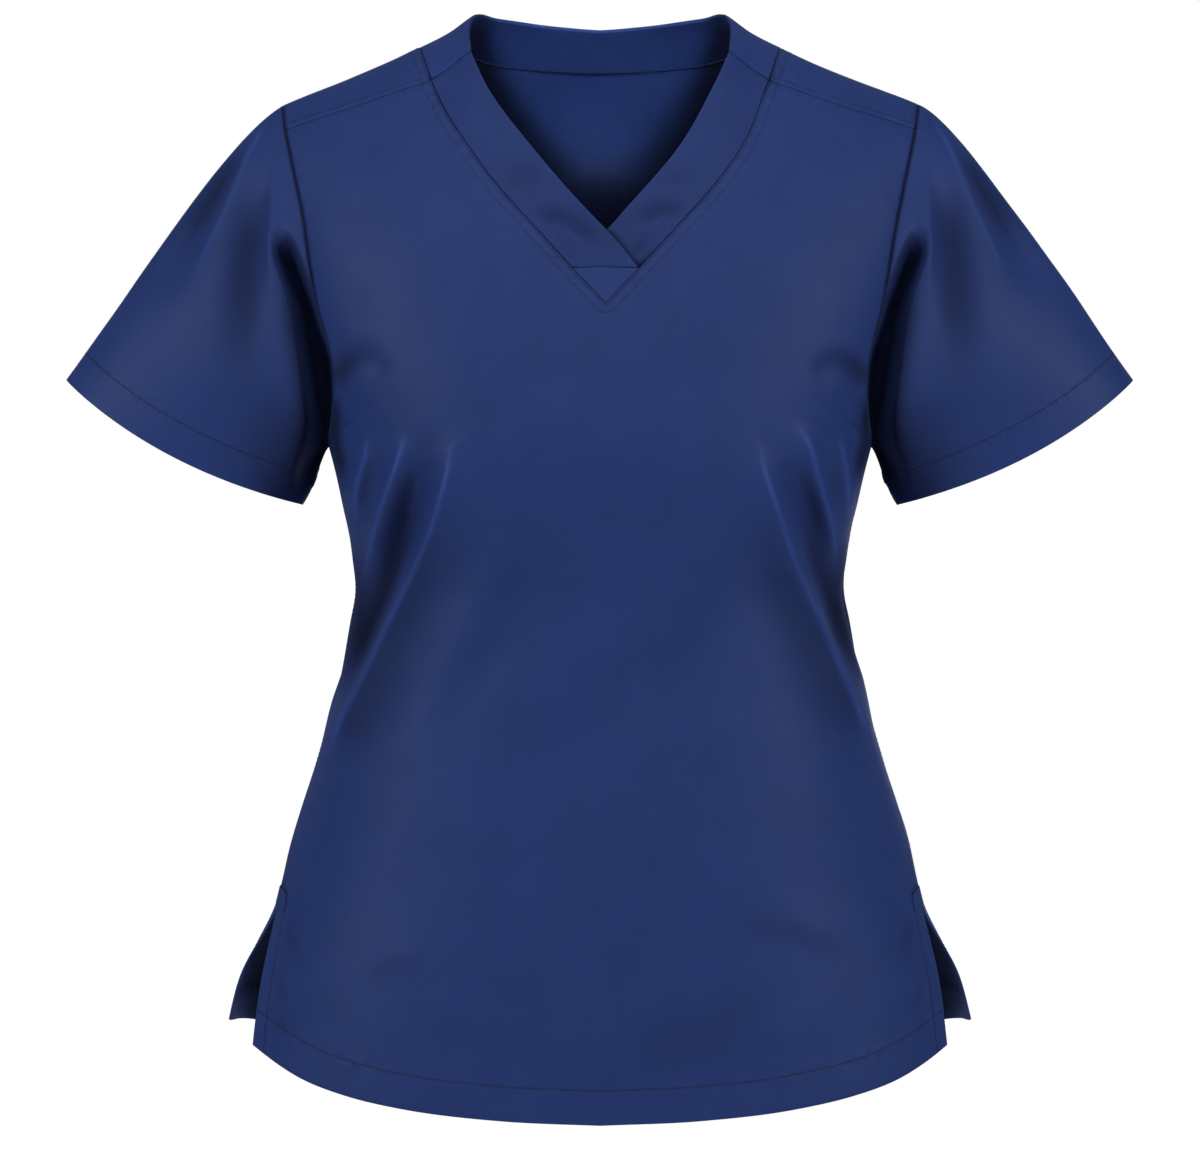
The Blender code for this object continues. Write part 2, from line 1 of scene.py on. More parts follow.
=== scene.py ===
"""A women's V-neck scrub top in navy twill, in its worn, hollow form.

Metres, +Z up, the front facing -Y. Left and right are the wearer's, so the wearer's right is at -X.

The worn form is one surface. A point of it is found by two angles: "turn", round the body from the middle
of the front or back (0) to the side, and "arch", from the shoulder ridge (0) down the front or back, where a
quarter turn reaches the upright part. A negative arch goes over the ridge to the other side. Every panel is
a patch of this surface between its seams, with its creases raised on it and a wall of cloth behind it.
"""

import math
from functools import partial
from itertools import zip_longest

import bmesh
import bpy
import numpy as np
from mathutils import Matrix, Vector
from mathutils.bvhtree import BVHTree
from mathutils.kdtree import KDTree


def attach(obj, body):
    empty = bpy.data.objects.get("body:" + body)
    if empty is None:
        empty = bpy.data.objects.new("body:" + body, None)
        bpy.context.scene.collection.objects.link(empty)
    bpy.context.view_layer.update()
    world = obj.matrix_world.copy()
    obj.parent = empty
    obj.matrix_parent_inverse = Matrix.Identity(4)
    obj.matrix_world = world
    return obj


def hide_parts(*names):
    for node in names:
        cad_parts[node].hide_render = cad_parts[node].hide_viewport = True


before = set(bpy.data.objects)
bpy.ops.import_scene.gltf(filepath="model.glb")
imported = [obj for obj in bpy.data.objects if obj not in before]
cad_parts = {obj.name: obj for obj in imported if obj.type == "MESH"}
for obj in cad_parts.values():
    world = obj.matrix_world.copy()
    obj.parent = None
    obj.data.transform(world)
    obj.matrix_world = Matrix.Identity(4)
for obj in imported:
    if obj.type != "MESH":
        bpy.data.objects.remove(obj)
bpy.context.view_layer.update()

MM = 0.001
HALVES = (-1, 1)  # the wearer's right and left
ENDS = (0, -1)  # a grid's first and last column

# Cloth: walls, the closed gap between sewn rims and how far their edges are rounded
WALL = 1.5 * MM
HEM_WALL = 2.3 * MM
SLEEVE_HEM_WALL = 1.7 * MM
BAND_WALL = 2.4 * MM
STAY_WALL = 0.7 * MM
GAP = 0.05 * MM
ROLL = 0.55 * MM
ROLL_STEPS = 2

# The body sections, in millimetres and degrees: where the side seam or armhole edge lies, then, for the
# front and for the back, y of the panel's middle and how far round its edge is turned. Above the armpit the
# edge is where the form would close under the arm. Below the vents' top, each panel has an edge of its own.
SECTIONS = [
    # z, edge x, edge y, front middle y, front edge turn, back middle y, back edge turn
    (40, 226, 0, -84, 90, 128, 90),
    (-50, 222, 0, -88, 90, 121, 90),
    (-100, 212, 0, -97, 90, 115, 90),
    (-150, 200, 0, -108, 90, 111, 90),
    (-200, 187, 0, -119, 90, 106, 90),
    (-249, 170.7, 0, -124, 90, 101, 90),
    (-283, 162.5, 0, -121, 90, 96, 90),
    (-320, 155.0, 0, -114, 90, 90, 90),
    (-340, 153.7, 0, -111, 90, 88, 90),
    (-360, 157.6, 0, -109.5, 90, 88.5, 90),
    (-397, 164.4, 0, -109, 90, 93, 90),
    (-447, 178.3, -2, -111, 88, 104, 92),
    (-497, 193.4, -14, -114, 78, 115, 97),
    (-535, 200.8, -28, -116, 68, 121, 100),
]
FRONT_SKIRT = [(-583, 210.8, -40, -117, 62), (-622, 215.6, -45, -117.5, 60), (-670, 219.0, -48, -117.5, 60)]
BACK_SKIRT = [(-583, 226.2, -8, 126, 92), (-611, 235.1, 8, 128, 86), (-660, 246.0, 20, 130, 84)]
FRONT_SECTIONS = [row[:5] for row in SECTIONS] + FRONT_SKIRT
BACK_SECTIONS = [row[:3] + row[5:] for row in SECTIONS] + BACK_SKIRT
ROUNDNESS = 0.8

# The shoulder ridge: x and height, and how far down the form turns from the ridge to upright.
RIDGE = [
    (0, 33), (32, 31.5), (64, 27.5), (78, 23.8), (94.5, 12), (115, 1), (126, -4.4), (157.5, -17.6),
    (200, -34.5), (230, -50),
]
ARCH_HEIGHT = 165 * MM
NAPE_LEAN = 15 * MM
NAPE_REACH = 120 * MM
SETTLING_PASSES = 8  # x and z of a point depend on each other, and settle in this many passes

# Seams and edges of the wearer's left half, as (x, z) in millimetres. The neckline is cut a little off
# centre.
NECK_SHIFT = 3.5 * MM
NECK_SHIFT_FROM = -25 * MM
NECK_SHIFT_OVER = 50 * MM
SHOULDER_SEAM = [(105, -23.2), (137, -33.9), (197, -52.3)]
ARMHOLE_FRONT = [
    (197, -52.3), (190.3, -81.7), (183, -114.5), (178, -143), (173.6, -167.4), (168.6, -186.4),
    (165.8, -201.8), (165.3, -217), (167, -234), (170.7, -249),
]
ARMHOLE_BACK = [
    (200, -34.5), (196, -60), (190.5, -90), (186, -120), (182, -150), (178, -180),
    (175, -205), (173, -222), (171.8, -238), (170.7, -249),
]
FRONT_HEM = [(0, -664), (61, -661.5), (122, -655), (153, -649), (185, -639), (198, -632.5), (215.6, -622)]
BACK_HEM = [(0, -655), (61, -653), (122, -647), (170, -636), (205, -622), (221, -615.5), (235.1, -611)]
VENT_TOP = -535 * MM
ARMPIT = -249 * MM
BUST_LINE = -256 * MM
NECK_SEAM = [(105, -23.2), (92.5, -52), (75.5, -80), (58, -102), (42, -119.7), (20.2, -144)]
NECK_POINT = [(20.2, -144), (0, -165.6)]
BAND_EDGE = [
    (80.5, -4.7), (71, -26), (60, -45.5), (44, -69), (28.2, -88.5), (11.5, -107.4), (-5, -125),
    (-20.2, -144),
]
NAPE_SEAM = [(105, -23.2), (111, -5), (114.7, 1.2), (104, 1.2), (88, 1.5), (70, -0.8), (35, -4), (0, -5)]
NAPE_EDGE = [(80.5, -4.7), (82.2, 12), (77.6, 23.8), (64, 24.1), (32, 21.7), (0, 19.8)]
RIDGE_AT = 2  # the point of both nape lines that lies on the shoulder ridge

# The left sleeve's cuff, as x and z of its two ends. Its front hangs lower than its ends, and its back
# higher.
CUFF_OUTER = (335.8 * MM, -207.6 * MM)
CUFF_INNER = (187.2 * MM, -286.3 * MM)
CUFF_HALF_DEPTH = 41 * MM
CUFF_FRONT_DIP = 11 * MM
CUFF_BACK_RISE = 4.4 * MM

# The sleeve leaves the armhole partly outward and, near the shoulder point, partly upward, then runs to the
# cuff along the arm. The pulls say how long it holds each direction, as shares of its length.
SLEEVE_RUN = (0.585, -0.811)
CAP_FULLNESS = 0.35
CAP_AXIS = 0.5  # outward is away from a line this share of the way out to the shoulder point
CAP_RISE = 0.9
CAP_REACH = 45 * MM
LEAVE_PULL = 0.5
CUFF_PULL = 0.9
FOLD_HOLD = 24  # the sleeve's folds fade near the armhole, with this power of the share of its length
FOLD_CLEAR = 0.5  # and the deepest ones also over this share of it above the hem

# The under neckband sinks below the other over this width, ending this far before the edge that covers it
SINK_OVER = 16 * MM
SINK_EARLY = 9 * MM
SINK_DEPTH = BAND_WALL + 0.6 * MM

# The vent stays: how far they reach onto each panel, their height and how far they stand off
STAY_REACH = (15 * MM, 8 * MM)
STAY_HEIGHT = 11.5 * MM
STAY_LIFT = STAY_WALL + 0.15 * MM
STAY = "vent_stay"

# The inset's blunt tip, as a share of its lower half
BLUNT_TIP = 0.04

# A place inside the body, for telling out from in
INSIDE = np.array([0, 0, -0.3])

# Rims of pieces are matched where their points are this close, unless their normals' mean is shorter than
# MOST_FOLDED, as where the cloth folds back. The limits say how far a mitre reaches at a rim and at its
# corners.
SAME_POINT = 0.05 * MM
MOST_FOLDED = 0.55
MITRE_LIMIT = 0.85
CORNER_LIMIT = 0.4

# How many cells each seam is divided into
FINE = 6
VENT_CELLS = 5 * FINE
SEAM_CELLS = 15 * FINE
ARMHOLE_CELLS = 10 * FINE
RIDGE_CELLS = 2 * FINE
NAPE_CELLS = 7 * FINE
POINT_CELLS = 2 * FINE
NECK_CELLS = 9 * FINE
SHOULDER_CELLS = 6 * FINE
VENT_ROWS = slice(0, VENT_CELLS + 1)
SIDE_ROWS = slice(VENT_CELLS, VENT_CELLS + SEAM_CELLS + 1)
ARMHOLE_ROWS = slice(VENT_CELLS + SEAM_CELLS, None)
NECK_COLUMNS = slice(SHOULDER_CELLS, -SHOULDER_CELLS)
SLEEVE_CELLS = 20 * FINE
BAND_CELLS = 14
INSET_CELLS = 16
STAY_CELLS = 8
STAY_COLUMNS = 30

# How finely lines are sampled, and how many widths off its line a crease is still reckoned
LINE_SAMPLES = 300
PATH_SAMPLES = 80
PATH_CELLS = 24
CREASE_MARGIN = 3

# Hems, vent facings and topstitching: how deep each turning is, and how far its stitches lie from the edge
HEM_DEPTH = 21 * MM
FACING_DEPTH = 12 * MM
NECK_STITCHES = (1.3 * MM, 6.2 * MM)
SHOULDER_STITCH = 4.4 * MM
SIDE_STITCH = 6.5 * MM
STITCH_PITCH = 3.2 * MM
STITCH_LENGTH = 2.0 * MM
STITCH_WIDTH = 0.7 * MM
STITCH_FLATNESS = 0.7
STITCH_SIDES = 6
STITCH_RINGS = 4
NECK_TRIM = 1 * MM
NAPE_TRIM = 40 * MM
EDGE_STEP = 0.5 * MM
LINE_STEP = 2 * MM
RIM_ANGLE = math.radians(50)  # edges sharper than this are rims
TURNED = {"from_hem": HEM_DEPTH, "from_facing": FACING_DEPTH}  # the cloth is thicker this far in

# Lines sewn into the cloth: the edge each follows and how far it lies from it, how deep and wide it dents
# the cloth, and how much painted shade darkens the dent. Metres, and a share.
SEWN_LINES = [
    ("from_neck", NECK_STITCHES[0], 0.00014, 0.00030, 0.65),
    ("from_neck", NECK_STITCHES[1], 0.00012, 0.00045, 0.25),
    ("from_shoulder", SHOULDER_STITCH, 0.00008, 0.00045, 0.30),
    ("from_hem", HEM_DEPTH, 0.00014, 0.00055, 0.45),
    ("from_facing", FACING_DEPTH, 0.00020, 0.00060, 0.60),
    ("from_side", SIDE_STITCH, 0.00012, 0.00045, 0.30),
    ("from_seam", 0.0, 0.00030, 0.00035, 0.85),
    ("from_armhole", 0.0, 0.00080, 0.0013, 0.97),
]

SEWN_EDGES = sorted({edge for edge, *_ in SEWN_LINES})

# What creases mark on the cloth: the distance from a crest and its strength, which set a painted highlight,
# and how deep the place lies, which sets painted shade. Then the marks that only the outer face keeps, and
# those that are of no use once the walls are built.
MARKS = ("crest", "crest_strength", "deep")
OUTER_ONLY = ("from_neck", "from_shoulder", "from_side", "from_armhole", "crest")
BUILDING_ONLY = ("wall", "across", "cloth", "open_inside", "deep")

# Painted shade in folds, which darkens the cloth's colour: rays cast from each point, how far they reach,
# how often their result is smoothed and how strongly it shows
FOLD_RAYS = 24
GOLDEN_ANGLE = math.pi * (3 - math.sqrt(5))
FOLD_REACH = 70 * MM
FOLD_STANDOFF = 0.4 * MM
FOLD_SMOOTHING = 2
FOLD_POWER = 2.0

# The inside is painted light where narrow rays that head out to the front leave the top, and painted shade
# elsewhere: how often their result is smoothed, how far they reach, their way, how far aside they spread,
# the open shares at which the painted light starts and is full, and its two tones, the lighter past the bare
# cloth.
ROOM_SMOOTHING = 8
ROOM_REACH = 500 * MM
ROOM_FACES = (0, -1, 0.05)
ROOM_SPREAD = 0.26
OPEN_FROM = 0.6
OPEN_ENOUGH = 1.0
LEAST_OPEN = 0.22
INSIDE_PAINTED_LIGHT = 1.5

CLOTH_RADIUS = 150 * MM  # the round of the body that the cloth's cut is laid out on

CREASE_HEIGHT = 2  # the place of the height in a crease's row

# Creases of the front: half widths on the left and right of the way they run, height (a trough's is
# negative), how sharp the crest is (2 is round), the shares of the length over which it fades in and out,
# and the line it follows as (x, z). Millimetres.
FRONT_CREASES = [
    # left, right, height, sharpness, fade in, fade out, line
    # the wearer's right side, from the armpit down to the waist
    (8, 5, 5.0, 1.3, 0.4, 0.4, [(-143, -243), (-144, -257), (-149, -277), (-152, -300)]),
    (10, 6, 8.0, 1.3, 0.3, 0.4, [(-119, -243), (-124, -264), (-133, -290), (-141, -316), (-148, -340)]),
    (9, 8, 10.0, 1.2, 0.25, 0.2, [
        (-90, -240), (-91, -259), (-96, -282), (-105, -310), (-117, -336), (-132, -365), (-145, -393),
        (-158, -418), (-170, -445),
    ]),
    (6, 6, -6.0, 2, 0.5, 0.5, [(-134, -250), (-141, -275), (-146, -295), (-151, -318)]),
    (9, 9, -12.0, 2, 0.35, 0.3, [
        (-107, -238), (-112, -275), (-124, -316), (-139, -355), (-152, -388), (-160, -415),
    ]),
    (20, 8, -2.5, 2, 0.35, 0.25, [
        (-95, -300), (-105, -318), (-116, -349), (-131, -379), (-146, -413), (-159, -446),
    ]),
    # the wearer's left side
    (5, 8, 5.0, 1.3, 0.4, 0.4, [(147, -243), (151, -267), (154, -300)]),
    (6, 10, 8.0, 1.3, 0.3, 0.4, [(117, -236), (127, -250), (132, -269), (140, -293), (148, -330)]),
    (8, 9, 10.0, 1.2, 0.25, 0.2, [
        (96, -246), (99, -265), (107, -290), (118, -322), (137, -363), (152, -399), (168, -432),
    ]),
    (6, 6, -6.0, 2, 0.5, 0.5, [(139, -256), (143, -275), (148, -308)]),
    (9, 9, -11.0, 2, 0.35, 0.3, [
        (111, -246), (118, -266), (127, -290), (134, -318), (144, -347), (152, -378), (158, -400),
    ]),
    (8, 20, -2.5, 2, 0.35, 0.25, [(97, -298), (109, -325), (127, -363), (142, -399), (158, -434)]),
    # broad pulls across the waist and the skirt
    (16, 16, 2.5, 2, 0.5, 0.5, [(-36, -268), (-66, -340), (-102, -405), (-140, -470)]),
    (18, 18, -3.0, 2, 0.5, 0.5, [(-14, -290), (-60, -365), (-118, -450)]),
    (20, 20, 2.5, 2, 0.5, 0.5, [(52, -280), (4, -365), (-56, -446)]),
    (20, 20, -2.5, 2, 0.5, 0.5, [(78, -300), (30, -390), (-30, -470)]),
    (50, 60, -3.0, 2, 0.6, 0.6, [(-60, -520), (30, -545), (120, -585)]),
    (8, 18, 1.6, 1.6, 0.6, 0.6, [(112, -535), (135, -548), (156, -560)]),
    (18, 18, 3.0, 2, 0.6, 0.6, [(60, -640), (105, -610), (156, -572)]),
    (6, 9, 0.8, 1.6, 0.6, 0.6, [(-132, -567), (-118, -562), (-100, -556)]),
    (5, 5, -0.7, 2, 0.5, 0.5, [(-10, -169), (3, -176), (15, -168)]),
    # dents in front of the armpits
    (8, 4, -3.5, 2, 0.15, 0.7, [
        (-163, -214), (-157, -203), (-149, -198), (-140, -198), (-132, -203), (-128, -209),
    ]),
    (10, 10, 1.2, 2, 0.5, 0.6, [(-154, -222), (-145, -214), (-134, -214)]),
    (12, 12, -1.2, 2, 0.5, 0.6, [(-172, -170), (-150, -166), (-120, -172)]),
    (4, 8, -3.5, 2, 0.7, 0.15, [
        (128, -210), (132, -204), (140, -199), (149, -199), (157, -205), (163, -216),
    ]),
    (10, 10, 1.2, 2, 0.6, 0.5, [(134, -216), (145, -216), (154, -224)]),
]
BACK_CREASES = [
    (8, 11, 4.0, 1.6, 0.4, 0.4, [(-142, -240), (-146, -270), (-151, -310)]),
    (12, 12, -5.5, 2, 0.4, 0.4, [(-108, -256), (-121, -305), (-140, -352), (-152, -385)]),
    (9, 14, 4.5, 1.6, 0.4, 0.5, [(-88, -256), (-104, -320), (-135, -395), (-160, -450)]),
    (12, 12, -5.0, 2, 0.4, 0.4, [(104, -254), (120, -300), (141, -350), (152, -380)]),
    (14, 9, 4.5, 1.6, 0.4, 0.5, [(84, -262), (103, -330), (137, -405), (158, -455)]),
    (11, 8, 3.5, 1.6, 0.4, 0.4, [(141, -244), (146, -272), (150, -305)]),
    (16, 18, -5.0, 2, 0.3, 0.3, [(-110, -352), (-45, -334), (30, -338), (105, -356)]),
    (12, 20, 2.5, 2, 0.3, 0.3, [(-90, -318), (-30, -306), (40, -308), (92, -322)]),
    (18, 18, 2.5, 2, 0.5, 0.5, [(-60, -380), (-100, -450), (-130, -540)]),
    (18, 18, 2.0, 2, 0.5, 0.5, [(50, -390), (92, -460), (120, -550)]),
    (22, 22, -2.5, 2, 0.5, 0.5, [(-70, -120), (-20, -140), (60, -128)]),
]

# Wrinkles of the two front neckbands
BAND_CREASES = [
    (6, 3, -2.2, 2, 0.2, 0.3, [(-40, -116), (-30, -112), (-19, -114.5), (-8, -123), (2, -130)]),
    (4, 6, 1.6, 2, 0.3, 0.4, [(-33, -119), (-22, -121), (-11, -130)]),
    (2.5, 3, -1.0, 2, 0.3, 0.4, [(-27, -136), (-20, -136), (-13, -137)]),
    (6, 6, -1.2, 2, 0.3, 0.3, [(-63, -88), (-48, -86), (-32, -82)]),
    (3, 6, -2.2, 2, 0.2, 0.3, [(51, -112), (41, -108), (33, -110), (20, -117)]),
    (6, 4, 1.6, 2, 0.3, 0.4, [(44, -116), (33, -117), (22, -123)]),
    (3, 3, -1.2, 2, 0.3, 0.4, [(31, -133), (24, -132), (17, -133)]),
    (5, 5, -1.2, 2, 0.3, 0.3, [(60, -87), (49, -87), (35, -86)]),
]
BAND_HOLD = 0.35  # they reach their full height over this share of the band's width from its seam
BAND_PAINTED_SHADE = 0.2  # painted shade over both front bands all over, which darkens them
BAND_TROUGH_SHADE = 0.24  # and how much more painted shade for each millimetre of a trough
EDGE_CREST = 2.2  # the crest line along a band's free edge, with its painted highlight, is this much narrower than a crease's
# how strong the painted highlight and bump along a band's free edge are
EDGE_STRENGTH = 0.8

# Creases on the fronts of the sleeves, laid out on the left sleeve, and then on their backs
SLEEVE_FRONT_CREASES = [
    (7, 12, 6.0, 1.4, 0.3, 0.6, [(208, -43), (215, -58), (223, -76), (232, -98), (243, -122), (255, -150)]),
    (11, 9, -6.0, 2, 0.4, 0.6, [(212, -74), (216, -100), (219, -135), (221, -175), (222, -215)]),
    (4, 5, 2.5, 1.55, 0.4, 0.4, [(204, -72), (204, -95), (204, -120), (204, -145), (203, -165)]),
    (16, 14, -7.0, 2, 0.4, 0.5, [(224, -56), (242, -86), (264, -125), (288, -170)]),
    (14, 18, -3.0, 2, 0.6, 0.6, [(224, -252), (211, -246), (199, -236), (188, -222)]),
]
SLEEVE_BACK_CREASES = [
    (10, 8, -9.0, 2, 0.4, 0.2, [(204, -110), (195, -150), (186, -190), (180, -225)]),
    (9, 9, 3.0, 1.6, 0.4, 0.5, [(214, -62), (224, -100), (238, -150)]),
    (14, 14, -3.5, 2, 0.4, 0.5, [(230, -70), (256, -120), (285, -180)]),
]
SLEEVE_CREASES_FROM = 20 * MM  # this far from the middle, a sleeve's creases have their full height

# All creases rise partly square to the cloth and partly straight to the front or back, by this much more.
# The turn is how sharply the second part changes over at the sides. Ridges and troughs fade over their
# holds towards the side seams and armholes.
CREASE_LEAN = 3.0
CREASE_TURN = 4
RIDGE_HOLD = 12 * MM
TROUGH_HOLD = 8 * MM

# The thin painted highlight along crests whose sharpness is under CRISP, and the painted shade of troughs
CRISP = 1.5
CREST_FADE = 2  # the line's fades are this many times shorter than its crease's
CREST_REACH = 6 * MM
CREST_WIDTH = 1.9 * MM
CREST_HEIGHT = 0.15 * MM
CREST_PAINTED_HIGHLIGHT = 0.55
DEEP_FROM = 5 * MM
DEEP_AT = 15 * MM
DEEP_PAINTED_SHADE = 0.38
MOST_DEEP = 2



def mirrored(line):
    """A line on the wearer's left moved to the right."""
    return [(-x, z) for x, z in line]


# Lines of shadow that lie alike on both sides, drawn for the left: along the top and the end of the armpit's
# dent, below the armpit, and along the waist in front and behind
DENT_TOP = [(138, -198), (145, -197), (153, -200), (160, -206), (163, -216)]
DENT_END = [(127, -211), (132, -203), (140, -198), (149, -198)]
ARMPIT_EDGE = [(166, -216), (165, -236), (164.5, -250), (161, -262), (158, -275)]
WAIST_EDGE = [(152, -298), (152, -330), (154, -358), (162, -388), (171, -412)]
BACK_WAIST_EDGE = [(154, -298), (154, -330), (156, -358), (163, -388), (172, -412)]

# Where shadow gathers beside folds: rows as above, with how dark it is in place of the height
FRONT_SHADES = [
    (7, 6, 0.95, 2, 0.15, 0.6, mirrored(DENT_TOP)[::-1]),
    (6, 7, 0.95, 2, 0.6, 0.15, DENT_TOP),
    (3.5, 2, 0.6, 2, 0.4, 0.3, mirrored(DENT_END)[::-1]),
    (2, 3.5, 0.6, 2, 0.3, 0.4, DENT_END),
    (4, 4, 2.4, 2, 0.3, 0.3, mirrored(ARMPIT_EDGE)),
    (4, 4, 2.2, 2, 0.3, 0.3, ARMPIT_EDGE),
    (2.5, 5, 0.35, 2, 0.3, 0.5, [(-193, -540), (-189, -556), (-182, -572)]),
    (2, 3, 0.3, 2, 0.4, 0.4, [(-199, -572), (-196, -588), (-190, -600)]),
    (3, 4, 0.35, 2, 0.4, 0.4, [(-203, -596), (-198, -606), (-190, -613)]),
    (5, 2.5, 0.35, 2, 0.3, 0.5, [(193, -540), (189, -556), (182, -572)]),
    (3, 2, 0.3, 2, 0.4, 0.4, [(199, -580), (196, -592), (191, -603)]),
    (8, 8, 1.4, 2, 0.4, 0.4, mirrored(WAIST_EDGE)),
    (8, 8, 1.3, 2, 0.4, 0.4, WAIST_EDGE),
    (8, 8, 0.85, 2, 0.4, 0.3, [(-114, -270), (-127, -318), (-141, -352), (-153, -388), (-161, -412)]),
    (7, 7, 0.6, 2, 0.4, 0.3, [(120, -285), (131, -318), (144, -350), (154, -380), (161, -402)]),
    (19, 3, 0.65, 2, 0.5, 0.15, [
        (-90, -272), (-100, -305), (-112, -334), (-126, -363), (-140, -392), (-153, -419), (-165, -446),
    ]),
    (3, 19, 0.62, 2, 0.5, 0.15, [
        (93, -276), (102, -305), (113, -331), (132, -363), (147, -399), (164, -436),
    ]),
    (13, 13, 0.1, 2, 0.5, 0.5, [(-36, -268), (-54, -330), (-76, -404)]),
    (13, 13, 0.18, 2, 0.5, 0.5, [(84, -300), (58, -360), (22, -420)]),
    (4, 7, 0.35, 2, 0.5, 0.6, [(-150, -577), (-130, -569), (-106, -567)]),
    (9, 5, 0.35, 2, 0.6, 0.4, [(62, -548), (102, -545), (134, -556), (156, -566)]),
    (18, 18, 0.25, 2, 0.5, 0.4, [(-20, -640), (40, -618), (96, -596), (140, -570)]),
]
BACK_SHADES = [
    (8, 8, 1.1, 2, 0.4, 0.4, mirrored(BACK_WAIST_EDGE)),
    (8, 8, 1.0, 2, 0.4, 0.4, BACK_WAIST_EDGE),
    (16, 8, 0.4, 2, 0.4, 0.5, [(-92, -262), (-108, -322), (-138, -395), (-158, -440)]),
    (8, 16, 0.4, 2, 0.4, 0.5, [(88, -268), (106, -330), (138, -400), (156, -445)]),
]
SLEEVE_SHADES = [
    (8, 12, 1.8, 2, 0.35, 0.3, [
        (197, -118), (190, -150), (184, -186), (180, -212), (178, -237), (181, -262), (184, -290),
    ]),
    (26, 12, 1.0, 2, 0.6, 0.01, [(186, -210), (182, -238), (184, -262), (187, -290)]),
    (13, 10, 0.9, 2, 0.3, 0.6, [(213, -80), (218, -110), (221, -140), (222, -180), (221, -235)]),
    (20, 9, 1.1, 2, 0.3, 0.5, [(222, -58), (238, -80), (252, -104), (266, -132)]),
]

# The deep folds beside the armhole, where the sleeve falls back behind the body: their heights are shares
# of the way to the fold's floor. The floor's y at three heights, in front and behind, keeps the two sides
# apart.
UNDERARM_FRONT = [
    (6, 6, 0.75, 3, 0.4, 0.35, [
        (201, -113), (199, -119), (191, -141), (185, -157), (180, -172), (176, -187),
    ]),
    (10, 18, 1.0, 5, 0.35, 0.01, [
        (184, -152), (178, -172), (175, -187), (172, -210), (170, -223), (169, -238), (171, -251),
        (178, -266), (184, -290),
    ]),
]
UNDERARM_BACK = [
    (9, 12, 0.7, 3, 0.4, 0.01, [
        (190, -140), (184, -170), (180, -195), (177, -215), (174, -238), (177, -262), (184, -290),
    ]),
]
FOLD_HEIGHTS = (-0.286, -0.245, -0.215)
FRONT_FLOOR = (0.012, 0.008, -0.028)
BACK_FLOOR = (0.020, 0.020, 0.036)
FOLD_GAP = 6 * MM

# Soft unevenness of the cloth: how high, over what lengths, and how many waves make it up
RIPPLE_HEIGHT = 0.55 * MM
RIPPLE_LENGTHS = (0.03, 0.12)
RIPPLES = 28
RIPPLE_SEED = 11

# Colours, linear. The cloth's darkest, in full painted shade, is these shares of its red, green and blue.
NAVY = (0.017, 0.041, 0.176)
NAVY_LIGHT = (0.0185, 0.0445, 0.190)
PAINTED_SHADE_SHARES = (0.01, 0.03, 0.07)
THREAD = (0.007, 0.014, 0.055)
PALE_THREAD = (0.06, 0.10, 0.32)
STRAND_TONES = (0.7, 1.4)
STRAND_RELIEF = 0.1 * MM

# Finishes, as plain values of the shader
CLOTH_FINISH = {
    "Specular IOR Level": 0.2,
    "Sheen Weight": 0.22,
    "Sheen Roughness": 0.45,
    "Sheen Tint": (0.12, 0.22, 0.75, 1),
}
THREAD_FINISH = {"Roughness": 0.55, "Sheen Weight": 0.1}
FLOOR_FINISH = {"Base Color": (0.86, 0.86, 0.86, 1), "Roughness": 0.9}
DEEP_ROUGHNESS = 0.9  # the cloth shines less in its folds
BARE_ROUGHNESS = 0.5

# The twill: ribs in a metre, how uneven they run and how far that pushes them, how much they climb, weft
# threads to a rib, the weft's share of the relief, the relief's height, its darkest tone and its contrast
RIBS = 1800.0
SLUB = 0.4
SLUB_PUSH = 6.0
RIB_CLIMB = 1.35
WEFTS_PER_RIB = 1.6
WEFT_SHARE = 0.25
TWILL_RELIEF = 0.014 * MM
TWILL_TONE = 0.88
TWILL_CONTRAST = 0.24

# Handling marks: depth, the weights of the broad and the fine ones, and how patchy the tone is
CRINKLE_DEPTH = 0.12 * MM
BROAD_CRINKLES = 3.0
FINE_CRINKLES = 0.8
PATCHINESS = 0.2
SMALL_PATCHES = 1.6

# Puckers beside sewn lines: their height, and how far from the line they fade
PUCKER_HEIGHT = 0.6 * MM
PUCKER_REACH = 5 * MM

# Unevenness that the materials draw: waves in a metre, detail and roughness
NOISES = {
    "slub": (90, 3, 0.5),
    "broad crinkle": (14, 3, 0.5),
    "fine crinkle": (110, 4, 0.6),
    "broad patch": (6, 2, 0.5),
    "small patch": (34, 5, 0.65),
    "pucker": (150, 1, 0.5),
    "strands": (1500, 2, 0.5),
}

# The places of a colour mix's two colours among its inputs, and of the mixed one among its outputs
FIRST_COLOUR, SECOND_COLOUR, MIXED_COLOUR = 6, 7, 2

# The camera, the floor and the lamps
CAMERA_AWAY = 3.0
VIEW_WIDTH = 0.756
VIEW_CENTRE = -0.332
VIEW_DEPTH = 50
FLOOR_LEVEL = -1.4
FLOOR_RADIUS = 4.5
FLOOR_SIDES = 96
ROOM_LIGHT = 0.14
LAMPS = [
    # name, place, what it points at, size, power, spread in degrees
    ("left softbox", (-2.1, -1.7, 0.6), (0, 0, -0.35), (0.7, 1.4), 22.5, 180),
    ("right softbox", (2.1, -1.7, 0.6), (0, 0, -0.35), (0.7, 1.4), 23, 180),
    ("top softbox", (0, -2.2, 1.9), (0, 0, -0.3), (1.0, 0.8), 9.5, 180),
    ("front softbox", (0, -3.0, 0.5), (0, 0, -0.3), (0.7, 0.5), 4.5, 180),
    ("overhead softbox", (0, -0.6, 2.4), (0, 0, -0.3), (1.6, 1.2), 7, 180),
    ("back softbox", (0.4, 3.0, -0.1), (0, 0, -0.35), (1.6, 1.6), 12, 180),
    ("neck light", (0, -3.0, 0.35), (0, 0.1, -0.045), (0.22, 0.12), 0.026, 5),
]


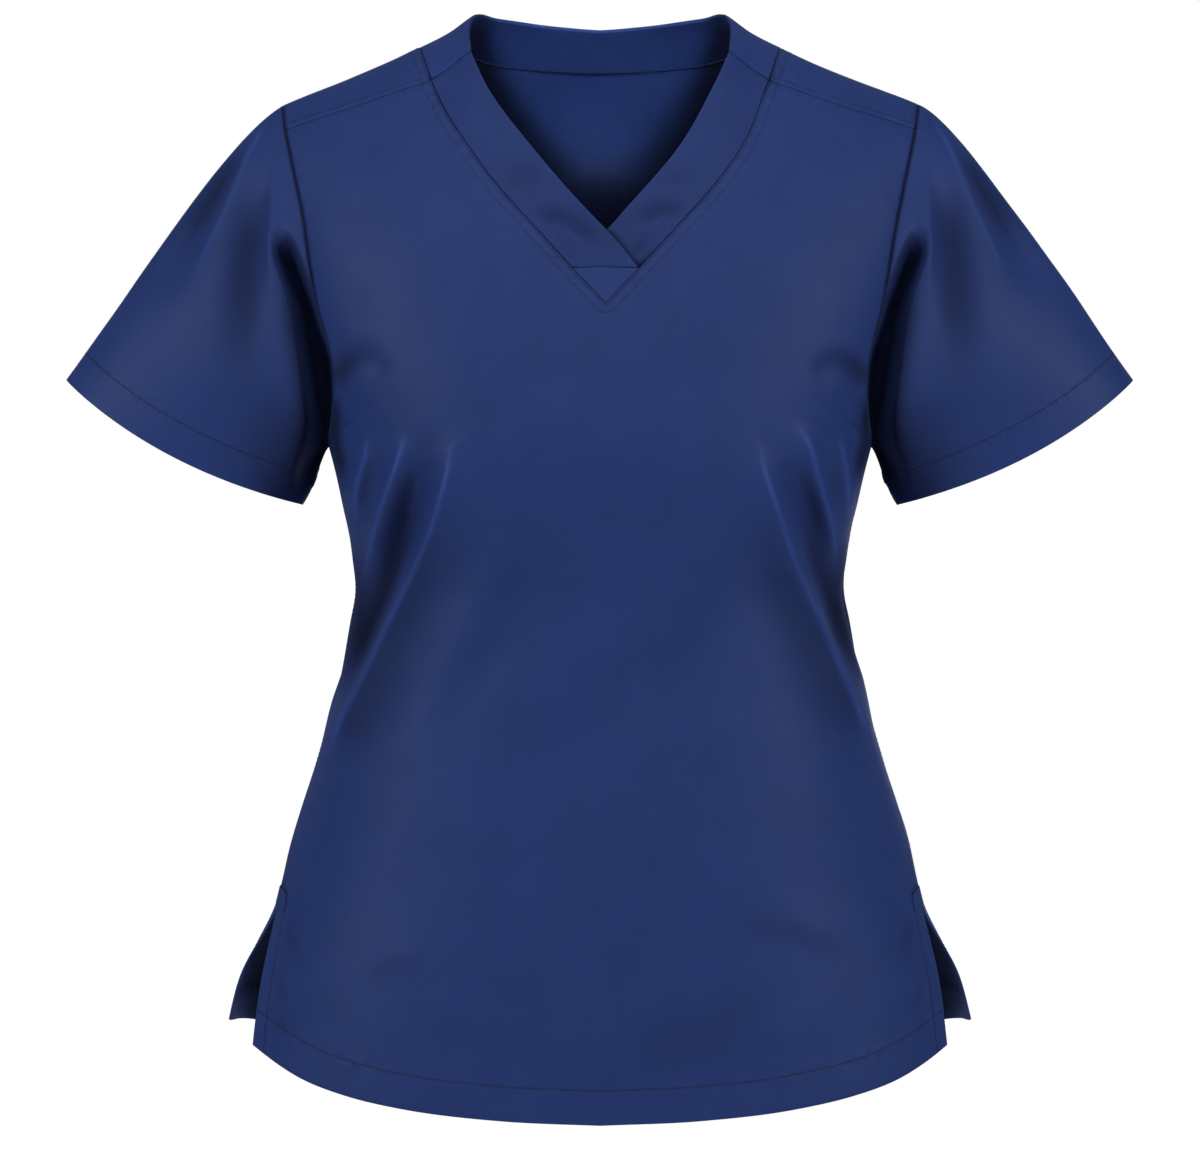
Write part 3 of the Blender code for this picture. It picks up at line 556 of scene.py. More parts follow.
def read_smooth(places, values, at):
    """A smooth curve through values at rising places, read at other places."""
    places, values = np.array(places, float), np.array(values, float)
    at = np.clip(at, places[0], places[-1])
    slopes = np.gradient(values, places, axis=0)
    k = np.clip(np.searchsorted(places, at) - 1, 0, len(places) - 2)
    span = places[k + 1] - places[k]
    s = (at - places[k]) / span
    if values.ndim > 1:
        s, span = s[..., None], span[..., None]
    start = (1 + 2 * s) * (1 - s) ** 2 * values[k] + s * (1 - s) ** 2 * span * slopes[k]
    return start + s**2 * (3 - 2 * s) * values[k + 1] - s**2 * (1 - s) * span * slopes[k + 1]


def measured(line):
    """The distance along a line at each of its points."""
    return np.r_[0, np.cumsum(np.linalg.norm(np.diff(line, axis=0), axis=1))]


def at_steps(line, steps, values=None):
    """The points of a line, or values given at its points, at distances along it."""
    length = measured(line)
    columns = (line if values is None else values).T
    return np.stack([np.interp(steps, length, column) for column in columns], axis=1)


def along(line, at_shares):
    """Points at the given shares of the length of a smooth line through the given points."""
    line = np.array(line, float)
    places = measured(line)
    fine = read_smooth(places, line, np.linspace(0, places[-1], LINE_SAMPLES))
    return at_steps(fine, np.array(at_shares) * measured(fine)[-1])


def ease(share):
    """A soft step from 0 to 1."""
    share = np.clip(share, 0, 1)
    return share**2 * (3 - 2 * share)


def ridge(x):
    """The height of the shoulder ridge."""
    points = np.array(RIDGE) * MM
    return read_smooth(points[:, 0], points[:, 1], np.abs(x))


def section(side, z):
    """Edge x, edge y, middle y and edge turn of the front (side -1) or back (side 1) at height z."""
    rows = []
    for table in (FRONT_SECTIONS, BACK_SECTIONS):
        table = np.array(table[::-1], float)
        rows.append(read_smooth(table[:, 0] * MM, table[:, 1:], z))
    x, y, middle, turn = np.moveaxis(np.where(np.asarray(side)[..., None] < 0, rows[0], rows[1]), -1, 0)
    return x * MM, y * MM, middle * MM, np.radians(turn)


def fall(arch):
    """How far below the ridge an arch angle lies."""
    arch = np.abs(arch)
    return ARCH_HEIGHT * np.where(arch < math.pi / 2, 1 - np.cos(arch), 1 + arch - math.pi / 2)


def arch_at(drop):
    """The arch angle that lies this far below the ridge."""
    share = np.maximum(drop, 0) / ARCH_HEIGHT
    return np.where(share < 1, np.arccos(1 - np.minimum(share, 1)), math.pi / 2 + share - 1)


def signed_power(value, power):
    return np.sign(value) * np.abs(value) ** power


def body(side, turn, arch):
    """The worn form's point at a turn and an arch, both signed."""
    side = np.where(arch < 0, -side, side)
    drop = fall(arch)
    z = -drop
    for _ in range(SETTLING_PASSES):
        edge_x, edge_y, middle, edge_turn = section(side, z)
        x = edge_x * signed_power(np.sin(turn) / np.sin(edge_turn), ROUNDNESS)
        z = ridge(x) - drop
    edge_x, edge_y, middle, edge_turn = section(side, z)
    round_it = 1 - signed_power(np.cos(turn), ROUNDNESS)
    upright = middle + (edge_y - middle) * round_it / (1 - signed_power(np.cos(edge_turn), ROUNDNESS))
    lean = NAPE_LEAN * np.maximum(0, 1 - (x / NAPE_REACH) ** 2)
    y = lean + (upright - lean) * np.sin(np.minimum(np.abs(arch), math.pi / 2))
    return np.stack([x, y, z], axis=-1)


def locate(side, x, z):
    """The (turn, arch) of the form's point at x and z."""
    edge_x, _, _, edge_turn = section(side, z)
    sine = signed_power(x / edge_x, 1 / ROUNDNESS) * np.sin(edge_turn)
    return np.stack([np.arcsin(np.clip(sine, -1, 1)), arch_at(ridge(x) - z)], axis=-1)


def shares(cells):
    """Even steps from 0 to 1."""
    return np.linspace(0, 1, cells + 1)


def seam(side, line, cells, half, off_centre=0.0):
    """(turn, arch) along a seam drawn for the left half, moved to either half."""
    x, z = along(np.array(line) * MM, shares(cells)).T
    moved = off_centre * ease((NECK_SHIFT_FROM - z) / NECK_SHIFT_OVER)
    return locate(np.full(cells + 1, side), half * x + moved, z)


def middle_line(side, bottom, top, cells):
    """(turn, arch) up the middle of a panel, with the bust line level with the armpit's row."""
    bust = locate(side, 0.0, BUST_LINE)
    lower = bottom + (bust - bottom) * shares(VENT_CELLS + SEAM_CELLS)[:, None]
    upper = bust + (top - bust) * shares(cells - VENT_CELLS - SEAM_CELLS)[:, None]
    return joined(lower, upper)


def side_edge(side, top, bottom, cells, half):
    """(turn, arch) up the panel's own edge, from one height to another."""
    z = np.linspace(bottom, top, cells + 1)
    edge_x, _, _, edge_turn = section(np.full(cells + 1, side), z)
    return np.stack([half * edge_turn, arch_at(ridge(edge_x) - z)], axis=-1)


def joined(*lines):
    """Lines end to end, each starting on the last point of the one before."""
    return np.concatenate([lines[0]] + [line[1:] for line in lines[1:]])


def patch(bottom, top, inner, outer):
    """A grid of (turn, arch) between four lines, inner and outer running from bottom to top."""
    u = shares(len(bottom) - 1)[None, :, None]
    v = shares(len(inner) - 1)[:, None, None]
    across = (1 - u) * inner[:, None] + u * outer[:, None]
    upward = (1 - v) * bottom[None] + v * top[None]
    corners = (1 - v) * ((1 - u) * bottom[0] + u * bottom[-1]) + v * ((1 - u) * top[0] + u * top[-1])
    return across + upward - corners


def nape_line(line, half):
    """(turn, arch) of a line that comes from the front, over the ridge, to the middle of the back."""
    x, z = (np.array(line) * MM).T
    where = locate(np.where(np.arange(len(x)) < RIDGE_AT, -1, 1), half * x, z)
    where[:RIDGE_AT, 1] *= -1
    where[RIDGE_AT, 1] = 0
    to_ridge = along(where[: RIDGE_AT + 1], shares(RIDGE_CELLS))
    return joined(to_ridge, along(where[RIDGE_AT:], shares(NAPE_CELLS)))


def follow(places, line, reach):
    """Which places lie near a line and, for those, how far off and how far along it, and if on its left."""
    path = along(np.array(line) * MM, shares(PATH_CELLS))
    near = ((places > path.min(axis=0) - reach) & (places < path.max(axis=0) + reach)).all(axis=-1)
    place = places[near]
    away, at = np.full(len(place), np.inf), np.zeros(len(place))
    on_left = np.zeros(len(place), bool)
    for k, (start, step) in enumerate(zip(path, np.diff(path, axis=0))):
        share = np.clip((place - start) @ step / (step @ step), 0, 1)
        gap = place - start - share[:, None] * step
        distance = np.linalg.norm(gap, axis=1)
        closer = distance < away
        away[closer], at[closer] = distance[closer], (k + share[closer]) / PATH_CELLS
        on_left[closer] = (step[0] * gap[:, 1] - step[1] * gap[:, 0] > 0)[closer]
    return near, away, at, on_left


def crease_lift(places, creases):
    """How far creases raise the cloth at each (x, z) place."""
    lift = np.zeros(places.shape[:-1])
    for left, right, height, sharpness, fade_in, fade_out, line in creases:
        near, away, at, on_left = follow(places, line, CREASE_MARGIN * max(left, right) * MM)
        fade = ease(at / fade_in) * ease((1 - at) / fade_out)
        width = np.where(on_left, left, right)
        lift[near] += height * MM * fade * np.exp(-((away / width / MM) ** sharpness))
    return lift


def crest_marks(places, creases):
    """The signed distance of each place from the nearest crisp crest, and how strong that crest is there,
    for its painted highlight.
    """
    gap, strength = np.full(places.shape[:-1], CREST_REACH), np.zeros(places.shape[:-1])
    for _, _, _, sharpness, fade_in, fade_out, line in creases:
        if sharpness < CRISP:
            near, away, at, on_left = follow(places, line, CREST_REACH)
            fade = ease(at / fade_in * CREST_FADE) * ease((1 - at) / fade_out * CREST_FADE)
            fade *= ease(1 - away / CREST_REACH)
            nearest, strongest = gap[near], strength[near]
            closer = away < np.abs(nearest)
            nearest[closer], strongest[closer] = np.where(on_left, away, -away)[closer], fade[closer]
            gap[near], strength[near] = nearest, strongest
    return gap, strength


def ripple(points):
    """A slight, soft unevenness."""
    draws = np.random.default_rng(RIPPLE_SEED)
    lift = np.zeros(points.shape[:-1])
    for _ in range(RIPPLES):
        way = draws.normal(size=3)
        length = draws.uniform(*RIPPLE_LENGTHS)
        phase = points @ (way / np.linalg.norm(way)) * (2 * math.pi / length)
        lift += np.sin(phase + draws.uniform(0, 2 * math.pi)) * length / RIPPLE_LENGTHS[1]
    return lift * RIPPLE_HEIGHT / math.sqrt(RIPPLES)


def normals(grid, closed=False):
    """Unit normals of a grid of points, up x across."""
    if closed:
        wide = np.concatenate([grid[:, -2:-1], grid, grid[:, 1:2]], axis=1)
        across = wide[:, 2:] - wide[:, :-2]
    else:
        across = np.gradient(grid, axis=1)
    upward = np.gradient(grid, axis=0)
    normal = np.cross(across, upward)
    return normal / np.linalg.norm(normal, axis=-1, keepdims=True)


def halves(make):
    """The right and left halves of a panel joined at the middle, columns from the wearer's right to left."""
    right, left = make(-1), make(1)
    return np.concatenate([right[:, ::-1], left[:, 1:]], axis=1)


def panel_edges(side, hem_line, columns, armhole_line, half):
    """(turn, arch) along the hem of a panel's half, from the middle, and up its outer edge."""
    hem = seam(side, hem_line, columns, half)
    outer = joined(
        side_edge(side, VENT_TOP, hem_line[-1][1] * MM, VENT_CELLS, half),
        side_edge(side, ARMPIT, VENT_TOP, SEAM_CELLS, half),
        seam(side, armhole_line[::-1], ARMHOLE_CELLS, half),
    )
    hem[-1] = outer[0]
    return hem, outer


def front_half(half):
    """(turn, arch) over half of the front."""
    hem, outer = panel_edges(-1, FRONT_HEM, POINT_CELLS + NECK_CELLS + SHOULDER_CELLS, ARMHOLE_FRONT, half)
    top = joined(
        seam(-1, NECK_POINT[::-1], POINT_CELLS, half, NECK_SHIFT),
        seam(-1, NECK_SEAM[::-1], NECK_CELLS, half, NECK_SHIFT),
        seam(-1, SHOULDER_SEAM, SHOULDER_CELLS, half),
    )
    return patch(hem, top, middle_line(-1, hem[0], top[0], len(outer) - 1), outer)


def ridge_line(half):
    """(turn, arch) along the shoulder ridge, from the neck seam to the armhole."""
    x = np.linspace(NAPE_SEAM[RIDGE_AT][0], ARMHOLE_BACK[0][0], SHOULDER_CELLS + 1) * MM
    where = locate(np.full(len(x), 1), half * x, ridge(x))
    where[:, 1] = 0
    return where


def back_half(half):
    """(turn, arch) over half of the back, up to the ridge."""
    hem, outer = panel_edges(1, BACK_HEM, NAPE_CELLS + SHOULDER_CELLS, ARMHOLE_BACK, half)
    top = joined(nape_line(NAPE_SEAM, half)[RIDGE_CELLS:][::-1], ridge_line(half))
    outer[-1] = top[-1]
    return patch(hem, top, middle_line(1, hem[0], top[0], len(outer) - 1), outer)


def yoke_where(half):
    """The back's strip that comes over the shoulder ridge to the forward shoulder seam."""
    ridge_top = ridge_line(half)
    front_seam = seam(-1, SHOULDER_SEAM, SHOULDER_CELLS, half) * (1, -1)
    inner = nape_line(NAPE_SEAM, half)[: RIDGE_CELLS + 1][::-1]
    outer = ridge_top[-1] + (front_seam[-1] - ridge_top[-1]) * shares(RIDGE_CELLS)[:, None]
    return patch(ridge_top, front_seam, inner, outer)


def points_at(side, where):
    """The points of a patch, with its columns in the order that turns its normals outward."""
    grid = body(np.full(where.shape[:2], side), where[..., 0], where[..., 1])
    faces_out = (normals(grid) * (grid - INSIDE)).sum() > 0
    return grid if faces_out else grid[:, ::-1]


def raised(grid, lift, uneven, closed=False):
    """The grid with its cloth unevenly raised, and lifted in creases that rise partly squarely and partly
    straight to the front or back."""
    square = normals(grid, closed)
    way = square + np.tanh(CREASE_TURN * square[..., 1:2]) * (0, CREASE_LEAN, 0)
    way /= np.linalg.norm(way, axis=-1, keepdims=True)
    return grid + way * lift[..., None] + square * uneven[..., None]


def panel(side, where, creases, shades):
    """A panel's grid, and the marks of its creases and shades."""
    grid = points_at(side, where)
    places = grid[..., [0, 2]]
    from_start, from_end = [np.linalg.norm(grid - end, axis=-1) for end in (grid[:, :1], grid[:, -1:])]
    ends = np.minimum(from_start, from_end)
    ridges = crease_lift(places, [row for row in creases if row[CREASE_HEIGHT] > 0])
    troughs = crease_lift(places, [row for row in creases if row[CREASE_HEIGHT] < 0])
    troughs = ease(ends / TROUGH_HOLD) * troughs
    deep = np.maximum(-troughs - DEEP_FROM, 0) / (DEEP_AT - DEEP_FROM)
    marks = (*crest_marks(places, creases), deep + crease_lift(places, shades) / MM)
    return raised(grid, ease(ends / RIDGE_HOLD) * ridges + troughs, ripple(grid)), marks


def front_and_back():
    """Both panels and their marks, with the same points along their side seams."""
    front, front_marks = panel(-1, halves(front_half), FRONT_CREASES, FRONT_SHADES)
    back, back_marks = panel(1, halves(back_half), BACK_CREASES, BACK_SHADES)
    for column in ENDS:
        back[SIDE_ROWS, -1 - column] = front[SIDE_ROWS, column]
    return front, back, front_marks, back_marks


def make_yokes(back):
    """The back's strip over each shoulder, with the back's own points along the ridge."""
    ridge_points = tree_of(back[-1])
    yokes = {}
    for half in HALVES:
        yoke = points_at(1, yoke_where(half))
        yoke = yoke + normals(yoke) * ripple(yoke)[..., None]
        yoke[0] = [ridge_points.find(point)[0] for point in yoke[0]]
        yokes[half] = yoke
    return yokes


def neck_column(yoke):
    """Which end column of a yoke is the one at the neck."""
    return min(ENDS, key=lambda k: abs(yoke[0, k, 0]))


def armhole(front, back, yoke, half):
    """The armhole's ring: up the front from the armpit, over the ridge and down the back."""
    column = 0 if half < 0 else -1
    over = yoke[::-1, -1 - neck_column(yoke)]
    return joined(front[ARMHOLE_ROWS, column], over, back[ARMHOLE_ROWS, -1 - column][::-1])


def sleeve(ring, half):
    """A tube from the armhole to the cuff, its rows running up the arm, with twice the ring's columns."""
    between = (ring[1:] + ring[:-1]) / 2
    top = 2 * (ARMHOLE_CELLS + RIDGE_CELLS)
    ring = np.insert(ring, range(1, len(ring)), between, axis=0)
    steps = measured(ring)
    angle = math.pi * np.interp(steps, [0, steps[top], steps[-1]], [0, 1, 2])
    outer, inner = np.array(CUFF_OUTER), np.array(CUFF_INNER)
    dip = np.sin(angle) ** 2 * np.where(np.sin(angle) > 0, CUFF_FRONT_DIP, -CUFF_BACK_RISE)
    across = (outer + inner) / 2 - np.cos(angle)[:, None] * (outer - inner) / 2
    across += dip[:, None] * SLEEVE_RUN
    cuff = np.stack([half * across[:, 0], -CUFF_HALF_DEPTH * np.sin(angle), across[:, 1]], axis=1)

    run = np.array([half * SLEEVE_RUN[0], 0, SLEEVE_RUN[1]])
    out_of_body = ring * (1, 1, 0) - ring[top] * (CAP_AXIS, 0, 0)
    out_of_body /= np.linalg.norm(out_of_body, axis=1, keepdims=True)
    out_of_body[:, 2] += CAP_RISE * np.exp(-(((steps - steps[top]) / CAP_REACH) ** 2))
    leave = run + CAP_FULLNESS * out_of_body
    leave /= np.linalg.norm(leave, axis=1, keepdims=True)
    length = np.linalg.norm(cuff - ring, axis=1)[:, None]
    s = shares(SLEEVE_CELLS)[:, None, None]
    grid = (
        (1 + 2 * s) * (1 - s) ** 2 * ring
        + s * (1 - s) ** 2 * LEAVE_PULL * length * leave
        + s**2 * (3 - 2 * s) * cuff
        - s**2 * (1 - s) * CUFF_PULL * length * run
    )
    grid = grid[::-1] if half > 0 else grid[::-1, ::-1]
    return raise_creases(grid, half)


def raise_creases(grid, half):
    """A sleeve's grid with its creases and its deep fold beside the armhole, and their marks."""
    places = np.stack([half * grid[..., 0], grid[..., 2]], axis=-1)
    in_front = np.clip(-grid[..., 1] / SLEEVE_CREASES_FROM, 0, 1)
    behind = np.clip(grid[..., 1] / SLEEVE_CREASES_FROM, 0, 1)
    hold = 1 - shares(SLEEVE_CELLS)[:, None] ** FOLD_HOLD
    gap, strength = crest_marks(places, SLEEVE_FRONT_CREASES)
    marks = (gap, strength * (in_front > 0), in_front * crease_lift(places, SLEEVE_SHADES) / MM)
    lift = in_front * crease_lift(places, SLEEVE_FRONT_CREASES)
    lift += behind * crease_lift(places, SLEEVE_BACK_CREASES)
    grid = raised(grid, lift * hold, ripple(grid) * hold, closed=True)
    _, y, z = np.moveaxis(grid, -1, 0)
    front_floor, back_floor = [np.interp(z, FOLD_HEIGHTS, floor) for floor in (FRONT_FLOOR, BACK_FLOOR)]
    hold *= ease(shares(SLEEVE_CELLS)[:, None] / FOLD_CLEAR)
    fold = np.clip(crease_lift(places, UNDERARM_FRONT) / MM * hold, 0, 1)
    back_fold = np.clip(crease_lift(places, UNDERARM_BACK) / MM * hold, 0, 1)
    in_front_y = y + fold * np.maximum(front_floor - y, 0)
    behind_y = np.maximum(y - back_fold * np.maximum(y - back_floor, 0), fold * (front_floor + FOLD_GAP))
    grid[..., 1] = np.where(y < 0, in_front_y, behind_y)
    grid[:, -1] = grid[:, 0]
    return grid, marks


def strip(side, seam_line, edge_line):
    """A band's grid between its seam and its free edge."""
    across = shares(BAND_CELLS)[:, None, None]
    return points_at(side, seam_line + (edge_line - seam_line) * across)


def front_band(half):
    """A front neckband and its marks. Its free edge is pressed to a crest with a painted highlight, and the
    band is darkened with painted shade, more in its wrinkles.
    """
    lines = [seam(-1, line, NECK_CELLS, half, NECK_SHIFT) for line in (NECK_SEAM, BAND_EDGE)]
    grid = strip(-1, *lines)
    off_seam = ease(shares(BAND_CELLS) / BAND_HOLD)[:, None]
    lift = off_seam * crease_lift(grid[..., [0, 2]], BAND_CREASES)
    off_edge = np.linalg.norm(grid - grid[-1], axis=-1)
    # Painted shade over the band, more in its wrinkles' troughs, and a painted highlight along its free edge
    tone = BAND_PAINTED_SHADE + BAND_TROUGH_SHADE * np.maximum(-lift, 0) / MM
    marks = (EDGE_CREST * off_edge, np.full(lift.shape, EDGE_STRENGTH), tone)
    return grid + normals(grid) * lift[..., None], marks


def under_band():
    """The left band, which sinks below the right one where that crosses over it."""
    grid, marks = front_band(1)
    edge = body(-1, *seam(-1, BAND_EDGE, PATH_SAMPLES, -1, NECK_SHIFT).T)
    over_x = np.interp(-grid[..., 2], -edge[:, 2], edge[:, 0])
    sink = SINK_DEPTH * ease(1 - (grid[..., 0] - over_x - SINK_EARLY) / SINK_OVER)
    return grid - normals(grid) * sink[..., None], marks


def back_band():
    """The back neckband, from one forward shoulder seam round the neck to the other."""
    lines = [joined(nape_line(line, -1), nape_line(line, 1)[::-1]) for line in (NAPE_SEAM, NAPE_EDGE)]
    return strip(1, *lines)


def inset():
    """The small triangle under the crossing, its tip cut blunt."""
    right = seam(-1, NECK_POINT, POINT_CELLS, -1, NECK_SHIFT)
    left = seam(-1, NECK_POINT, POINT_CELLS, 1, NECK_SHIFT)
    for line in (right, left):
        line[-1] += BLUNT_TIP * (line[-2] - line[-1])
    across = shares(INSET_CELLS)[None, :, None]
    return points_at(-1, (right[:, None] + (left - right)[:, None] * across)[::-1])


def stay(front, back, half):
    """A patch wrapped over the top of a side vent, raised off both panels."""
    sides = [grid if side == half else grid[:, ::-1] for grid, side in ((front, -1), (back, 1))]
    parts = []
    for grid, reach in zip(sides, STAY_REACH):
        cloth = grid[VENT_CELLS : VENT_CELLS + FINE, :STAY_COLUMNS]
        height = measured(cloth[:, 0])
        at = np.interp(shares(STAY_CELLS) * STAY_HEIGHT, height, np.arange(len(height)))
        low = np.minimum(at.astype(int), len(height) - 2)
        rows = cloth[low] + (cloth[low + 1] - cloth[low]) * (at - low)[:, None, None]
        parts.append(np.stack([at_steps(row, reach * shares(STAY_CELLS)) for row in rows]))
    grid = np.concatenate([parts[0][:, ::-1], parts[1][:, 1:]], axis=1)
    grid = grid[:, ::-1] if half < 0 else grid
    return grid + normals(grid) * STAY_LIFT


def tree_of(points):
    """A search tree of points, numbered in their order."""
    tree = KDTree(len(points))
    for k, place in enumerate(points):
        tree.insert(place, k)
    tree.balance()
    return tree


def distances(line, points):
    """How far each point is from a line."""
    tree = tree_of(evenly(line, EDGE_STEP)[0])
    return [tree.find(point)[2] for point in points]


def evenly(line, step):
    """Points at even steps along a line, and the way it heads at each."""
    length = measured(line)[-1]
    points = at_steps(line, np.linspace(0, length, max(2, round(length / step) + 1)))
    heading = np.gradient(points, axis=0)
    return points, heading / np.linalg.norm(heading, axis=1, keepdims=True)


def laid_out(grid):
    """Where each point of a grid lies on the flat cloth, near enough for its weave."""
    if np.allclose(grid[:, 0], grid[:, -1]):
        steps = np.linalg.norm(np.diff(grid, axis=1, prepend=grid[:, :1]), axis=2)
        runs = np.linalg.norm(np.diff(grid, axis=0, prepend=grid[:1]), axis=2)
        return np.stack([np.cumsum(steps, axis=1), np.cumsum(runs, axis=0)], axis=-1)
    x, y, z = np.moveaxis(grid, -1, 0)
    front = grid[..., 1].mean() < -NAPE_LEAN
    turn = np.arctan2(x, -y if front else y)
    from_ridge = np.hypot(ridge(x) - z, y)
    return np.stack([CLOTH_RADIUS * turn, np.where((y < 0) != front, from_ridge, -from_ridge)], axis=-1)


def write(mesh, name, values):
    """Stores a value at each vertex."""
    layer = mesh.verts.layers.float[name]
    for vertex, value in zip(mesh.verts, values):
        vertex[layer] = value


def lay_grid(mesh, grid, marks):
    """Adds a grid of points to a mesh, with its marks and its place on the flat cloth."""
    rows, columns = grid.shape[:2]
    cut_at = laid_out(grid)
    cut = mesh.verts.layers.float_vector["cloth"]
    layers = [mesh.verts.layers.float[name] for name in MARKS]
    new = bmesh.ops.create_grid(mesh, x_segments=columns - 1, y_segments=rows - 1, size=0.5)
    for vertex in new["verts"]:
        i, j = round((vertex.co.y + 0.5) * (rows - 1)), round((vertex.co.x + 0.5) * (columns - 1))
        vertex.co = grid[i, j]
        vertex[cut] = (*cut_at[i, j], 0)
        for layer, mark in zip(layers, marks):
            vertex[layer] = mark[i, j]


def open_sheet(grids, wall, edges, marks=(), hem_wall=HEM_WALL):
    """An open mesh of grids joined where they meet, of which the first has marks. Each vertex also holds its
    wall's thickness, more in hems and facings, and how far it is from each named edge."""
    mesh = bmesh.new()
    for name in ("wall", "open", "open_inside", *MARKS, *SEWN_EDGES):
        mesh.verts.layers.float.new(name)
    for name in ("across", "cloth"):
        mesh.verts.layers.float_vector.new(name)
    for grid, its_marks in zip_longest(grids, [marks], fillvalue=()):
        lay_grid(mesh, grid, its_marks)
    bmesh.ops.remove_doubles(mesh, verts=mesh.verts[:], dist=SAME_POINT)
    points = [vertex.co.copy() for vertex in mesh.verts]
    thickness = np.full(len(points), wall)
    for name in SEWN_EDGES:
        away = [distances(line, points) for line in edges.get(name, [])] or [np.ones(len(points))]
        away = np.min(away, axis=0)
        write(mesh, name, away)
        if name in TURNED:
            thickness[away < TURNED[name]] = hem_wall
    write(mesh, "wall", thickness)
    mesh.normal_update()
    return mesh


def rim_steps(mesh):
    """For each rim vertex, the step along the cloth that draws both its edges in by half a gap."""
    inward = {}
    for edge in mesh.edges:
        if edge.is_boundary:
            face = edge.link_faces[0]
            along_edge = (edge.verts[1].co - edge.verts[0].co).normalized()
            step = face.normal.cross(along_edge)
            if step.dot(face.calc_center_median() - edge.verts[0].co) < 0:
                step.negate()
            for vertex in edge.verts:
                inward.setdefault(vertex, []).append(step)
    return {
        vertex: (first + second) * (GAP / 2 / max(1 + first.dot(second), CORNER_LIMIT))
        for vertex, (first, second) in inward.items()
    }


def match_rims(sheets):
    """Sets the direction of the wall at each vertex, alike on both sides of a seam so that rims meet, and
    draws the rims apart by the gap."""
    rims = [(vertex.co.copy(), vertex.normal.copy()) for mesh in sheets for vertex in rim_steps(mesh)]
    tree = tree_of([place for place, _ in rims])
    for mesh in sheets:
        steps = rim_steps(mesh)
        across = mesh.verts.layers.float_vector["across"]
        for vertex in mesh.verts:
            vertex[across] = vertex.normal
        for vertex in steps:
            near = [rims[k][1] for _, k, _ in tree.find_range(vertex.co, 2 * SAME_POINT)]
            mean = sum(near, Vector()) / len(near)
            if mean.length > MOST_FOLDED:
                mean.normalize()
                vertex[across] = mean / max(mean.dot(vertex.normal), MITRE_LIMIT)
        for vertex, step in steps.items():
            vertex.co += step


def room_seen(whole, place, facing, way, fan, reach, fades):
    """How much of a fan of rays around a way is open at a point, from 0 to 1. With fades at 1, what is
    farther off blocks less, and with 0 all of it blocks alike."""
    turned = way.to_track_quat("Z", "Y").to_matrix()
    start = place + facing * FOLD_STANDOFF
    blocked = 0
    for ray in fan:
        distance = whole.ray_cast(start, turned @ ray, reach)[3]
        if distance is not None:
            blocked += 1 - distance / reach * fades
    return 1 - blocked / len(fan)


def ray_fan(spread):
    """Evenly spread rays round +Z, the outermost this much aside."""
    rays = []
    for k in range(FOLD_RAYS):
        aside, turn = spread * math.sqrt((k + 0.5) / FOLD_RAYS), k * GOLDEN_ANGLE
        rays.append(Vector((aside * math.cos(turn), aside * math.sin(turn), math.sqrt(1 - aside * aside))))
    return rays


def ray_target(sheets):
    """One surface of all sheets but the thin vent stays, for rays to meet."""
    points, faces = [], []
    for name, mesh in sheets.items():
        if not name.startswith(STAY):
            mesh.verts.index_update()
            mesh.normal_update()
            faces += [[len(points) + vertex.index for vertex in face.verts] for face in mesh.faces]
            points += [vertex.co for vertex in mesh.verts]
    return BVHTree.FromPolygons(points, faces)


def painted_light_inside(whole, vertex, fan):
    """The painted light and shade of the cloth's reverse at a vertex: painted light where narrow rays out to
    the front get out of the top, painted shade where they are blocked and where it faces away from the
    front.
    """
    seen = 0
    if vertex.normal.y > 0:
        seen = room_seen(whole, vertex.co, -vertex.normal, Vector(ROOM_FACES), fan, ROOM_REACH, 0)
    seen = float(ease((seen - OPEN_FROM) / (OPEN_ENOUGH - OPEN_FROM)))
    return LEAST_OPEN + (INSIDE_PAINTED_LIGHT - LEAST_OPEN) * seen


def smooth_layer(mesh, layer, passes):
    """Evens out a layer's values between neighbours."""
    for _ in range(passes):
        beside = [
            sum(edge.other_vert(vertex)[layer] for edge in vertex.link_edges) / len(vertex.link_edges)
            for vertex in mesh.verts
        ]
        for vertex, mean in zip(mesh.verts, beside):
            vertex[layer] = (vertex[layer] + mean) / 2


def shade_folds(sheets):
    """Marks each vertex with painted shade: how open the room is outside it, 0 deep in a fold and 1 on bare
    cloth, lowered where troughs and lines of shadow are marked; and with the painted light and shade of its
    reverse."""
    whole = ray_target(sheets)
    wide, narrow = ray_fan(1), ray_fan(ROOM_SPREAD)
    for name, mesh in sheets.items():
        outside, inside, deep = [mesh.verts.layers.float[mark] for mark in ("open", "open_inside", "deep")]
        for vertex in mesh.verts:
            room = room_seen(whole, vertex.co, vertex.normal, vertex.normal, wide, FOLD_REACH, 1)
            # Painted shade: the room seen, lowered further where troughs and lines of shadow are marked deep
            vertex[outside] = min(room, 1 - DEEP_PAINTED_SHADE * min(MOST_DEEP, vertex[deep]))
            # The reverse's painted light and shade; the vent stays' reverse keeps the bare colour
            vertex[inside] = 1 if name.startswith(STAY) else painted_light_inside(whole, vertex, narrow)
        smooth_layer(mesh, outside, FOLD_SMOOTHING)
        smooth_layer(mesh, inside, ROOM_SMOOTHING)


